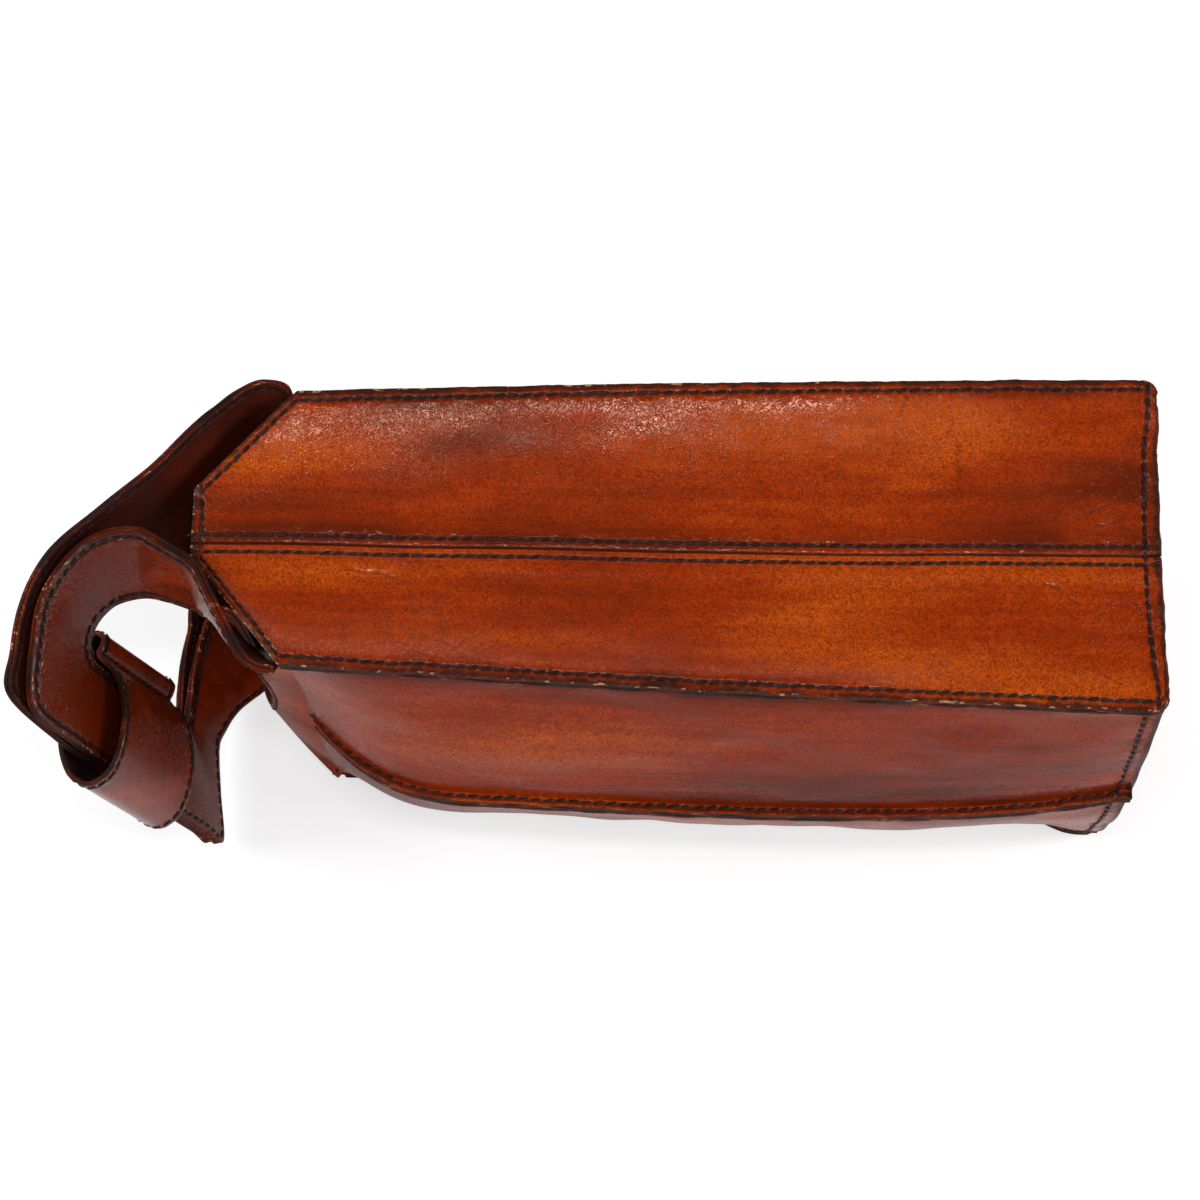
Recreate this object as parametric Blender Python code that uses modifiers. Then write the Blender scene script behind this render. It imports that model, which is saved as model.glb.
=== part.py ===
"""Leather wine bottle carrier for two bottles, lying on one narrow side with its handles flopped over.

The origin is the middle of the base's outer face. +X points out of the base, so the mouth and the handles are
at -X. The narrow sides (gussets) face +Z and -Z, and the broad sides (panels) face -Y (near) and +Y (far).
Sizes are in millimetres and are turned into metres where points are made.
"""

import math

import bmesh
import bpy
from mathutils import Vector

MM = 0.001

# Body
BODY_LENGTH = 271.0
BODY_WIDTH = 158.0
GUSSET_AT_BASE = 112.0
GUSSET_AT_MOUTH = 93.0
LOWER_MOUTH_SET_BACK = 9.0
RESTING_TUCK = 9.0
BASE_RIM = 5.0

# Leather and seams
PANEL_LEATHER = 1.8
SEAM_GAP = 0.3
SEAM_MARGIN = 4.5

# Gussets
BUTT_SEAM_Y = -3.0
GUSSET_SAG_AT_BASE = 4.0
GUSSET_SAG_AT_MOUTH = 8.0
TONGUE_LENGTH = 31.0
TONGUE_TIP_WIDTH = 23.0
TONGUE_TIP_SHIFT = 4.5
TONGUE_DROOP = 9.0
LOWER_TONGUE_LENGTH = 15.0
LOWER_TONGUE_TIP_SHIFT = 16.0
STRIP_WIDTH = 16.0
STRIP_LEATHER = 1.2

# Ridge seams and the wall between the bottles
RIDGE_MARGIN = 3.7
RIDGE_BULGE_AT_BASE = 5.5
RIDGE_BULGE_MIDWAY = 18.2
RIDGE_CURL_AT_MOUTH = 29.0
FAR_RIDGE_DRAW_IN = 1.0
DIVIDER_LEATHER = 1.6
DIVIDER_SET_BACK = 15.0

# Base
BASE_LEATHER = 1.8
BOARD_THICKNESS = 2.0
BOARD_CLEARANCE = 1.5

# Handles
HANDLE_LEATHER = 1.5
LINING_LEATHER = 1.2
LINING_GAP = 0.25
FOLD_GAP = 0.4

# Grip sleeve
SLEEVE_LENGTH = 55.0
SLEEVE_LEATHER = 1.8
SLEEVE_CHANNEL_WIDTH = 45.0
SLEEVE_CHANNEL_HEIGHT = 22.0
SLEEVE_ROLL_WIDTH = 7.0
SLEEVE_ROLL_HEIGHT = 5.6
SLEEVE_SEAM_ROOM = 6.0

HALF_WIDTH = BODY_WIDTH / 2
GUSSET_MID = HALF_WIDTH - PANEL_LEATHER / 2
FLANGE_MID = GUSSET_MID - PANEL_LEATHER - SEAM_GAP
RIDGE_MID = DIVIDER_LEATHER / 2 + SEAM_GAP + PANEL_LEATHER / 2


def between(low, high, t):
    return low + (high - low) * t


def ease(t):
    """A slow start and a slow end."""
    t = min(1.0, max(0.0, t))
    return t * t * (3 - 2 * t)


def along_body(s):
    """0 at the base, 1 at the mouth, held at the base's value on the rim beyond it."""
    return min(1.0, max(0.0, s / BODY_LENGTH))


# The raw edges of the gussets, as half widths at a distance s from the base.


def upper_edge(s):
    t = along_body(s)
    return between(GUSSET_AT_BASE, GUSSET_AT_MOUTH, 0.55 * t + 0.45 * t * t) / 2


def lower_near_edge(s):
    """The near side rolls under where the body lies on it, just past the square base."""
    t = along_body(s)
    tuck = RESTING_TUCK * ease((s - 2) / 26) * (1 - 0.25 * ease((t - 0.8) / 0.2))
    return upper_edge(s) - 3.0 - tuck


def lower_far_edge(s):
    """The width that the near side rolls under comes out at the far side."""
    return upper_edge(s) + 0.6 * RESTING_TUCK * ease((s - 2) / 60)


def near_ridge(s):
    """Where the near panel's halves turn outward into the ridge, as a distance from the middle plane."""
    t = along_body(s)
    swell = between(RIDGE_BULGE_AT_BASE, RIDGE_BULGE_MIDWAY, 1 - math.exp(-5.4 * t))
    curl = RIDGE_CURL_AT_MOUTH * max(0.0, (t - 0.8) / 0.2) ** 2.3
    return upper_edge(s) - SEAM_MARGIN + swell - curl


def far_ridge(s):
    """The divider has one width, so the far ridge is drawn in where the near one bulges."""
    t = along_body(s)
    draw = FAR_RIDGE_DRAW_IN + 4.0 * math.sin(math.pi * min(1.0, t / 0.9))
    return upper_edge(s) - SEAM_MARGIN - draw


def mouth_at(side, z):
    """The distance from the base at which a broad panel ends. The near one ends sooner toward its lower edge."""
    if side > 0:
        return BODY_LENGTH - 1
    return BODY_LENGTH - LOWER_MOUTH_SET_BACK * (HALF_WIDTH - z) / BODY_WIDTH


def sag(s):
    t = max(0.0, s / BODY_LENGTH)
    return between(GUSSET_SAG_AT_BASE, GUSSET_SAG_AT_MOUTH, ease(t / 0.4))


# Building blocks


def clear_scene():
    for obj in list(bpy.data.objects):
        bpy.data.objects.remove(obj, do_unlink=True)


def new_material(name, colour, roughness):
    material = bpy.data.materials.new(name)
    material.use_nodes = True
    shader = material.node_tree.nodes["Principled BSDF"]
    shader.inputs["Base Color"].default_value = (*colour, 1.0)
    shader.inputs["Roughness"].default_value = roughness
    shader.inputs["Metallic"].default_value = 0.0
    material.diffuse_color = (*colour, 1.0)
    return material


def point(x, y, z):
    return Vector((x, y, z)) * MM


def smooth_through(points, steps, closed=False):
    """A Catmull-Rom curve through the points, with a number of steps between each two."""
    count = len(points)
    result = []
    for i in range(count if closed else count - 1):
        if closed:
            a, b, c, d = (points[(i + k) % count] for k in (-1, 0, 1, 2))
        else:
            a, b, c, d = (points[min(count - 1, max(0, i + k))] for k in (-1, 0, 1, 2))
        for step in range(steps):
            t = step / steps
            result.append(
                0.5
                * (2 * b + (c - a) * t + (2 * a - 5 * b + 4 * c - d) * t * t + (3 * b - 3 * c + d - a) * t * t * t)
            )
    if not closed:
        result.append(points[-1].copy())
    return result


def rows_mesh(name, rows, closed_rows=False):
    """A loft: quads between each row of points and the next."""
    mesh = bpy.data.meshes.new(name)
    shape = bmesh.new()
    grid = [[shape.verts.new(p) for p in row] for row in rows]
    width = len(rows[0])
    for first, second in zip(grid, grid[1:]):
        for j in range(width if closed_rows else width - 1):
            k = (j + 1) % width
            shape.faces.new((first[j], first[k], second[k], second[j]))
    bmesh.ops.recalc_face_normals(shape, faces=shape.faces)
    shape.to_mesh(mesh)
    shape.free()
    return mesh


def solidify(obj, thickness, offset=0.0):
    modifier = obj.modifiers.new("Leather", "SOLIDIFY")
    modifier.thickness = thickness * MM
    modifier.offset = offset
    modifier.use_even_offset = True
    modifier.use_rim = True
    return modifier


def finish(obj, material, collection, smooth_angle=35):
    obj.data.materials.clear()
    obj.data.materials.append(material)
    collection.objects.link(obj)
    if obj.type == "MESH":
        obj.data.shade_smooth()
        obj.data.set_sharp_from_angle(angle=math.radians(smooth_angle))
    return obj


def add_sheet(name, rows, thickness, material, collection, closed_rows=False):
    obj = bpy.data.objects.new(name, rows_mesh(name, rows, closed_rows))
    finish(obj, material, collection)
    solidify(obj, thickness)
    return obj


def add_flat(name, outline, thickness, material, collection):
    """A flat piece in the XY plane, cut to an outline and centred on its thickness."""
    curve = bpy.data.curves.new(name, "CURVE")
    curve.dimensions = "2D"
    curve.fill_mode = "BOTH"
    curve.extrude = thickness * MM / 2
    spline = curve.splines.new("POLY")
    spline.points.add(len(outline) - 1)
    for target, (x, y) in zip(spline.points, outline):
        target.co = (x * MM, y * MM, 0.0, 1.0)
    spline.use_cyclic_u = True
    obj = bpy.data.objects.new(name, curve)
    return finish(obj, material, collection)


def body_stations(end, start=-BASE_RIM):
    """Distances from the base, closer together where the edges turn."""
    shares = (0.0, 0.02, 0.04, 0.065, 0.10, 0.18, 0.32, 0.47, 0.62, 0.74, 0.82, 0.88, 0.92, 0.95, 0.98, 1.0)
    return [between(start, end, share) for share in shares]


# Gussets


def tongue_length(level):
    return TONGUE_LENGTH if level > 0 else LOWER_TONGUE_LENGTH


def gusset_edge(level, side, s):
    """A gusset's raw edge: along its seam to the mouth, and then straight to the tongue's blunt tip."""
    if level > 0:
        edge_of = upper_edge
    else:
        edge_of = lower_far_edge if side > 0 else lower_near_edge
    corner = mouth_at(side, level * HALF_WIDTH)
    if s <= corner:
        return side * edge_of(s)
    shift = TONGUE_TIP_SHIFT if level > 0 else LOWER_TONGUE_TIP_SHIFT
    t = (s - corner) / (BODY_LENGTH + tongue_length(level) - corner)
    return between(side * edge_of(corner), shift + side * TONGUE_TIP_WIDTH / 2, t)


def gusset_height(level, side, s, y):
    """The middle of a gusset's leather: flat over the seam margins, sagging between them, drooping at the tip."""
    if level < 0:
        return -GUSSET_MID
    beyond = max(0.0, s - BODY_LENGTH) / TONGUE_LENGTH
    outer = gusset_edge(level, side, s)
    root = outer - side * SEAM_MARGIN * (1 - beyond)
    share = (y - root) / (BUTT_SEAM_Y - root)
    dip = sag(s) * (1 - beyond) * (1 - math.cos(math.pi * min(1.0, max(0.0, share)))) / 2
    return GUSSET_MID - dip - TONGUE_DROOP * beyond


def gusset_rows(level, side):
    """Rows across one half of a gusset, from its raw edge to the butt line. level is +1 above and -1 below."""
    rows = []
    tongue = [BODY_LENGTH + tongue_length(level) * share for share in (0.25, 0.5, 0.75, 1.0)]
    butt = BUTT_SEAM_Y + side * SEAM_GAP / 2
    if level < 0:
        butt += LOWER_TONGUE_TIP_SHIFT - TONGUE_TIP_SHIFT
    for s in body_stations(BODY_LENGTH) + tongue:
        beyond = max(0.0, s - BODY_LENGTH) / tongue_length(level)
        outer = gusset_edge(level, side, s)
        root = outer - side * SEAM_MARGIN * (1 - beyond)
        columns = [outer, root] + [between(root, butt, k / 6) for k in range(1, 7)]
        rows.append([point(-s, y, gusset_height(level, side, s, y)) for y in columns])
    return rows


def strip_rows(level):
    """The strip that backs the butt seam, following the gusset's sag."""
    under = PANEL_LEATHER / 2 + SEAM_GAP + STRIP_LEATHER / 2
    start = BASE_LEATHER + BOARD_THICKNESS + SEAM_GAP * 4
    butt = BUTT_SEAM_Y
    if level < 0:
        butt += LOWER_TONGUE_TIP_SHIFT - TONGUE_TIP_SHIFT
    rows = []
    for k in range(19):
        s = between(start, BODY_LENGTH + tongue_length(level), k / 18)
        near_limit = gusset_edge(level, -1, s) + 1.0
        far_limit = gusset_edge(level, 1, s) - 1.0
        row = []
        for across in (-1.0, -0.5, 0.0, 0.5, 1.0):
            y = min(far_limit, max(near_limit, butt + across * STRIP_WIDTH / 2))
            side = -1 if across <= 0 else 1
            row.append(point(-s, y, gusset_height(level, side, s, y) - level * under))
        rows.append(row)
    return rows


# Broad panels


def panel_rows(side, level):
    """Rows across one half of a broad panel: the gusset seam's margin, the face, and the ridge seam's margin."""
    ridge_of = far_ridge if side > 0 else near_ridge
    if level > 0:
        edge_of = upper_edge
    else:
        edge_of = lower_far_edge if side > 0 else lower_near_edge
    shares = (0.0, 0.05, 0.15, 0.30, 0.50, 0.70, 0.85, 0.95, 1.0)
    rows = []
    for station in body_stations(1.0, 0.0):
        row = []

        def place(z, distance_at):
            s = between(-BASE_RIM, mouth_at(side, z), station)
            row.append(point(-s, side * distance_at(s), z))

        place(level * FLANGE_MID, edge_of)
        for share in shares:
            z = level * between(FLANGE_MID, RIDGE_MID, share)
            if level > 0:
                swell = 0.45 * share + 0.55 * math.sin(math.pi * share / 2)
            elif side < 0:
                swell = 1 - (1 - share) ** 2.2
            else:
                swell = share
            place(z, lambda s, swell=swell: between(edge_of(s) - SEAM_MARGIN, ridge_of(s), swell))
        place(level * RIDGE_MID, lambda s: ridge_of(s) + RIDGE_MARGIN)
        rows.append(row)
    return rows


def divider_outline():
    """The wall between the bottles, with its seam margins reaching out to the rim at the base end."""
    behind_base = BASE_LEATHER + SEAM_GAP + BOARD_THICKNESS + SEAM_GAP
    end = BODY_LENGTH - DIVIDER_SET_BACK
    tab = PANEL_LEATHER / 2 - 0.3
    stations = [between(behind_base, end, k / 22) for k in range(23)]
    near = [(BASE_RIM, -(near_ridge(0) + RIDGE_MARGIN)), (0.0, -(near_ridge(0) + RIDGE_MARGIN))]
    near += [(-s, -(near_ridge(s) + RIDGE_MARGIN)) for s in stations]
    far = [(-s, far_ridge(s) + RIDGE_MARGIN) for s in reversed(stations)]
    far += [(0.0, far_ridge(0) + RIDGE_MARGIN), (BASE_RIM, far_ridge(0) + RIDGE_MARGIN)]
    far += [(BASE_RIM, far_ridge(0) - tab), (-behind_base, far_ridge(0) - tab)]
    back = [(-behind_base, -(near_ridge(0) - tab)), (BASE_RIM, -(near_ridge(0) - tab))]
    return near + far + back


# Base


def base_outline(inset):
    """The inside of the four sides at the base, taken in by a distance, as (y, z) points in order."""
    top = GUSSET_MID
    points = []
    butt = BUTT_SEAM_Y

    def top_z(y, edge):
        root = edge - SEAM_MARGIN
        share = (root - abs(y - 0.0)) / (root - abs(butt))
        return top - sag(0) * (1 - math.cos(math.pi * min(1.0, max(0.0, share)))) / 2

    near_top = upper_edge(0) - SEAM_MARGIN - inset
    far_top = near_top
    for k in range(9):
        y = between(-near_top, far_top, k / 8)
        points.append((y, top_z(y, upper_edge(0)) - inset))
    far_bulge = far_ridge(0) - inset
    far_low = lower_far_edge(0) - SEAM_MARGIN - inset
    near_low = lower_near_edge(0) - SEAM_MARGIN - inset
    near_bulge = near_ridge(0) - inset
    points += [(between(far_top, far_bulge, 0.6), HALF_WIDTH * 0.5), (far_bulge, 0.0)]
    points += [(between(far_bulge, far_low, 0.5), -HALF_WIDTH * 0.5)]
    points += [(far_low, -(top - inset)), (-near_low, -(top - inset))]
    rise = 1 - 0.5**2.2
    points += [(-between(near_low, near_bulge, rise), -HALF_WIDTH * 0.5), (-near_bulge, 0.0)]
    points += [(-between(near_top, near_bulge, 0.45 * 0.5 + 0.55 * math.sin(math.pi / 4)), HALF_WIDTH * 0.5)]
    return points


def add_base(material, board_material, collection):
    """The base leather is a shallow tray whose turned-out margin is sewn inside the sides' raw edges."""
    inset = PANEL_LEATHER / 2 + SEAM_GAP + BASE_LEATHER / 2
    floor_x = -BASE_LEATHER / 2
    mesh = bpy.data.meshes.new("base_panel")
    shape = bmesh.new()
    ring = [shape.verts.new(point(floor_x, y, z)) for y, z in base_outline(inset)]
    face = shape.faces.new(ring)
    edges = list(face.edges)
    turned = bmesh.ops.extrude_edge_only(shape, edges=edges)
    moved = [v for v in turned["geom"] if isinstance(v, bmesh.types.BMVert)]
    bmesh.ops.translate(shape, verts=moved, vec=point(BASE_RIM - floor_x - 0.4, 0, 0))
    bmesh.ops.recalc_face_normals(shape, faces=shape.faces)
    shape.to_mesh(mesh)
    shape.free()
    tray = bpy.data.objects.new("base_panel", mesh)
    finish(tray, material, collection)
    solidify(tray, BASE_LEATHER)

    board_inset = PANEL_LEATHER / 2 + BOARD_CLEARANCE
    mesh = bpy.data.meshes.new("base_board")
    shape = bmesh.new()
    start = -BASE_LEATHER - SEAM_GAP
    ring = [shape.verts.new(point(start, y, z)) for y, z in base_outline(board_inset)]
    shape.faces.new(ring)
    bmesh.ops.recalc_face_normals(shape, faces=shape.faces)
    shape.to_mesh(mesh)
    shape.free()
    board = bpy.data.objects.new("base_board", mesh)
    finish(board, board_material, collection)
    facing_out = mesh.polygons[0].normal.x > 0
    solidify(board, BOARD_THICKNESS, -1.0 if facing_out else 1.0)


# Handles. Each panel runs on past the mouth as a ring round a hand hole. A station on the ring is measured from
# the panel's nearest mouth corner: how far past the mouth, how far in across the gusset, and how far down from
# the corner. Two such stations, one on the outer edge and one on the hole's edge, make a line across the strap.

NEAR_UPPER = [
    ((2.6, -1.5, 1.8), (17.0, 14.5, 26.0)),
    ((11.0, 1.5, 0.9), (20.5, 19.5, 26.0)),
    ((19.0, 14.5, 0.9), (25.0, 24.5, 27.0)),
    ((25.0, 24.0, 1.0), (28.0, 26.2, 27.4)),
    ((30.0, 32.5, 1.2), (31.0, 28.0, 28.0)),
    ((41.0, 41.5, 3.0), (40.0, 31.5, 29.5)),
    ((50.0, 46.5, 6.0), (48.0, 33.2, 31.5)),
    ((64.0, 44.5, 11.0), (58.0, 32.0, 36.0)),
    ((77.0, 32.5, 19.0), (64.0, 27.0, 40.0)),
    ((81.3, 16.5, 26.0), (66.5, 22.0, 44.0)),
    ((81.5, -3.5, 35.0), (66.5, 18.6, 50.5)),
    ((70.0, -10.0, 52.0), (65.0, 18.0, 59.0)),
    ((59.0, -12.5, 78.0), (59.7, 18.2, 76.0)),
]
NEAR_LOWER = [
    ((48.0, -14.0, 51.0), (53.5, 18.5, 62.0)),
    ((37.0, -14.8, 24.0), (48.5, 19.0, 46.0)),
    ((32.5, -15.0, 11.0), (44.8, 19.6, 34.0)),
    ((34.5, 2.5, 12.0), (44.6, 21.0, 32.5)),
    ((35.8, 17.5, 13.0), (44.3, 23.5, 31.7)),
    ((34.4, 24.8, 11.0), (44.2, 28.5, 31.0)),
    ((29.8, 34.3, 8.0), (44.1, 35.5, 30.0)),
    ((19.7, 44.5, 6.0), (43.5, 45.5, 28.5)),
    ((13.0, 53.5, 6.5), (42.0, 55.5, 27.5)),
    ((6.5, 58.5, 7.0), (39.0, 64.0, 28.0)),
    ((-0.5, 50.0, 6.5), (31.0, 61.0, 30.0)),
    ((-4.5, 30.0, 5.8), (22.0, 45.0, 35.0)),
    ((-6.4, 11.0, 5.0), (15.0, 26.5, 46.0)),
]
NEAR_BODY = [
    ((-3.0, 11.5, 39.0), (11.5, 19.5, 63.0)),
    ((-0.8, 10.7, 79.0), (10.5, 17.5, 83.0)),
]
NEAR_BODY_UPPER = [
    ((1.2, 7.0, 39.0), (12.0, 15.5, 51.0)),
    ((2.2, 4.2, 13.0), (14.0, 14.0, 36.0)),
]

FAR_UPPER = [
    ((1.8, -1.8, 1.8), (21.0, 11.0, 32.0)),
    ((10.0, -4.0, 0.9), (26.0, 22.0, 35.0)),
    ((18.0, -0.5, 0.9), (30.5, 31.0, 37.5)),
    ((25.0, 5.5, 1.0), (35.0, 38.0, 39.0)),
    ((32.0, 12.0, 1.4), (39.5, 43.0, 39.0)),
    ((45.0, 25.5, 4.0), (47.0, 49.0, 38.5)),
    ((61.0, 37.0, 10.0), (57.5, 54.5, 39.0)),
    ((78.0, 50.5, 17.0), (69.0, 60.0, 41.5)),
    ((86.5, 66.5, 23.5), (74.5, 67.0, 46.0)),
    ((89.0, 80.5, 28.5), (75.0, 72.0, 51.0)),
    ((89.5, 93.0, 33.0), (73.5, 74.7, 56.0)),
    ((76.5, 102.0, 53.5), (69.5, 74.7, 64.0)),
    ((64.0, 105.2, 80.0), (64.4, 74.5, 78.0)),
]
FAR_LOWER = [
    ((53.0, 106.7, 49.0), (58.4, 74.2, 60.0)),
    ((42.0, 107.5, 22.0), (53.3, 73.7, 44.0)),
    ((37.5, 107.5, 9.0), (49.6, 73.0, 31.5)),
    ((39.5, 90.0, 9.5), (49.3, 71.5, 30.0)),
    ((40.5, 74.5, 10.0), (49.0, 69.0, 29.4)),
    ((38.8, 66.5, 8.5), (48.8, 63.5, 28.7)),
    ((34.8, 56.0, 6.0), (49.2, 55.5, 27.0)),
    ((27.0, 44.5, 5.0), (48.8, 44.5, 25.5)),
    ((19.5, 33.5, 5.0), (47.5, 34.0, 24.5)),
    ((13.0, 24.5, 4.8), (47.5, 24.5, 25.5)),
    ((7.0, 13.5, 5.6), (45.0, 15.5, 28.0)),
    ((2.4, 3.0, 5.2), (38.0, 7.5, 34.0)),
]
FAR_BODY = [
    ((1.6, 3.2, 39.0), (25.0, 5.0, 58.0)),
    ((1.6, 4.7, 79.0), (16.0, 5.5, 81.0)),
]
FAR_BODY_UPPER = [
    ((1.6, 4.7, 39.0), (16.0, 5.5, 53.0)),
    ((1.6, 4.2, 13.0), (18.0, 6.0, 36.0)),
]


def handle_stations(side, upper, lower, body_low, body_high):
    """Turns a handle's tables into a closed list of (outer, hole) points in millimetres."""

    def place(level, measured):
        past, inward, down = measured
        x = -(BODY_LENGTH + past)
        y = side * (GUSSET_AT_MOUTH / 2 - inward)
        return Vector((x, y, level * (HALF_WIDTH - down)))

    pairs = [(place(1, outer), place(1, hole)) for outer, hole in upper]
    pairs += [(place(-1, outer), place(-1, hole)) for outer, hole in lower]
    pairs += [(place(-1, outer), place(-1, hole)) for outer, hole in body_low]
    pairs += [(place(1, outer), place(1, hole)) for outer, hole in body_high]
    return pairs


def ring_rows(pairs, steps, across=3):
    """Rows across the whole ring, smooth along both edges and straight across."""
    outers = smooth_through([p[0] for p in pairs], steps, closed=True)
    holes = smooth_through([p[1] for p in pairs], steps, closed=True)
    return [[outer.lerp(hole, j / across) for j in range(across + 1)] for outer, hole in zip(outers, holes)]


def shifted(rows, distance):
    """The same ring moved sideways off its surface."""
    count = len(rows)
    result = []
    for i, row in enumerate(rows):
        before = rows[i - 1]
        after = rows[(i + 1) % count]
        new_row = []
        for j, p in enumerate(row):
            along = after[j] - before[j]
            over = row[min(len(row) - 1, j + 1)] - row[max(0, j - 1)]
            new_row.append(p + along.cross(over).normalized() * distance)
        result.append(new_row)
    return result


def stretch_of(rows, first, last, steps):
    """The rows of the ring from one station to another, going on past the list's end where need be."""
    count = len(rows)
    stop = last * steps if last > first else last * steps + count
    return [list(rows[k % count]) for k in range(first * steps, stop + 1)]


def trimmed(rows, amount):
    """Takes a little off both ends, so that the pieces that meet there stay clear of each other."""
    for end, inner in ((0, 1), (-1, -2)):
        for j, p in enumerate(rows[end]):
            toward = rows[inner][j] - p
            rows[end][j] = p + toward.normalized() * min(amount, toward.length / 2)
    return rows


def metres(rows):
    return [[p * MM for p in row] for row in rows]


def add_handle(side, pairs, upper_cut, lower_cut, names, material, collection):
    """One panel's run past the mouth: the fold at its root, the handle proper, and the handle's lining."""
    steps = 3
    both = HANDLE_LEATHER + LINING_GAP + LINING_LEATHER
    ring = ring_rows(pairs, steps)
    turn = lining_side(ring, upper_cut * steps, side)
    layers = (
        (names[0], shifted(ring, turn * (both - HANDLE_LEATHER) / 2), both, (lower_cut, upper_cut)),
        (names[1], ring, HANDLE_LEATHER, (upper_cut, lower_cut)),
        (
            names[2],
            shifted(ring, turn * (both - LINING_LEATHER / 2 - HANDLE_LEATHER / 2)),
            LINING_LEATHER,
            (upper_cut, lower_cut),
        ),
    )
    pieces = []
    for name, rows, thickness, (first, last) in layers:
        cut = trimmed(stretch_of(rows, first, last, steps), FOLD_GAP)
        pieces.append(add_sheet(name, metres(cut), thickness, material, collection))
    return pieces


def lining_side(ring, station, side):
    """Which way along the ring's normal the lining lies: the two handles' linings face each other."""
    row = ring[station]
    along = ring[station + 1][1] - ring[station - 1][1]
    over = row[2] - row[0]
    normal = along.cross(over)
    return 1.0 if normal.y * side < 0 else -1.0


# Grip sleeve


def sleeve_section():
    """Half of the sleeve's section from the roll's end to the channel's end, as (across, height) points."""
    pinch = PANEL_LEATHER / 2 + SEAM_GAP
    roll_end = -SLEEVE_SEAM_ROOM - SLEEVE_ROLL_WIDTH
    channel_end = -SLEEVE_SEAM_ROOM + SLEEVE_CHANNEL_WIDTH
    roll = SLEEVE_ROLL_HEIGHT / 2
    high = SLEEVE_CHANNEL_HEIGHT / 2
    half = [
        Vector((roll_end, 0.0)),
        Vector((roll_end + 0.9, 0.65 * roll)),
        Vector((roll_end + 0.32 * SLEEVE_ROLL_WIDTH, roll)),
        Vector((roll_end + 0.68 * SLEEVE_ROLL_WIDTH, 0.8 * roll)),
        Vector((-SLEEVE_SEAM_ROOM, pinch)),
        Vector((-SLEEVE_SEAM_ROOM + 2.0, pinch + 1.0)),
        Vector((-SLEEVE_SEAM_ROOM + 4.2, 0.40 * high)),
        Vector((-SLEEVE_SEAM_ROOM + 7.0, 0.62 * high)),
        Vector((between(-SLEEVE_SEAM_ROOM, channel_end, 0.30), 0.88 * high)),
        Vector((between(-SLEEVE_SEAM_ROOM, channel_end, 0.50), high)),
        Vector((between(-SLEEVE_SEAM_ROOM, channel_end, 0.72), 0.93 * high)),
        Vector((between(-SLEEVE_SEAM_ROOM, channel_end, 0.90), 0.66 * high)),
        Vector((between(-SLEEVE_SEAM_ROOM, channel_end, 0.98), 0.28 * high)),
        Vector((channel_end, 0.0)),
    ]
    other = [Vector((p.x, -p.y)) for p in reversed(half[1:-1])]
    return smooth_through(half + other, 2, closed=True)


def add_sleeve(near_pairs, far_pairs, top, bottom, material, collection):
    """A leather sleeve round both hand bars, sewn through just past the bars' hole edges."""
    start = (near_pairs[top][1] + far_pairs[top][1]) / 2
    end = (near_pairs[bottom][1] + far_pairs[bottom][1]) / 2
    axis = (end - start).normalized()
    middle = (start + end) / 2
    outer_middle = (near_pairs[top][0] + far_pairs[top][0] + near_pairs[bottom][0] + far_pairs[bottom][0]) / 4
    across = outer_middle - middle
    across = (across - axis * across.dot(axis)).normalized()
    height = axis.cross(across).normalized()
    section = sleeve_section()
    rows = []
    for k in range(7):
        centre = middle + axis * between(-SLEEVE_LENGTH / 2, SLEEVE_LENGTH / 2, k / 6)
        rows.append([centre + across * p.x + height * p.y for p in section])
    return add_sheet("grip_sleeve", metres(rows), SLEEVE_LEATHER, material, collection, closed_rows=True)


def put_on_joint(objects, parent):
    """Gives each moving piece the hinge's empty as its parent, keeping it where it is."""
    bpy.context.view_layer.update()
    for obj in objects:
        place = obj.matrix_world.copy()
        obj.parent = parent
        obj.matrix_parent_inverse = parent.matrix_world.inverted()
        obj.matrix_world = place


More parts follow.
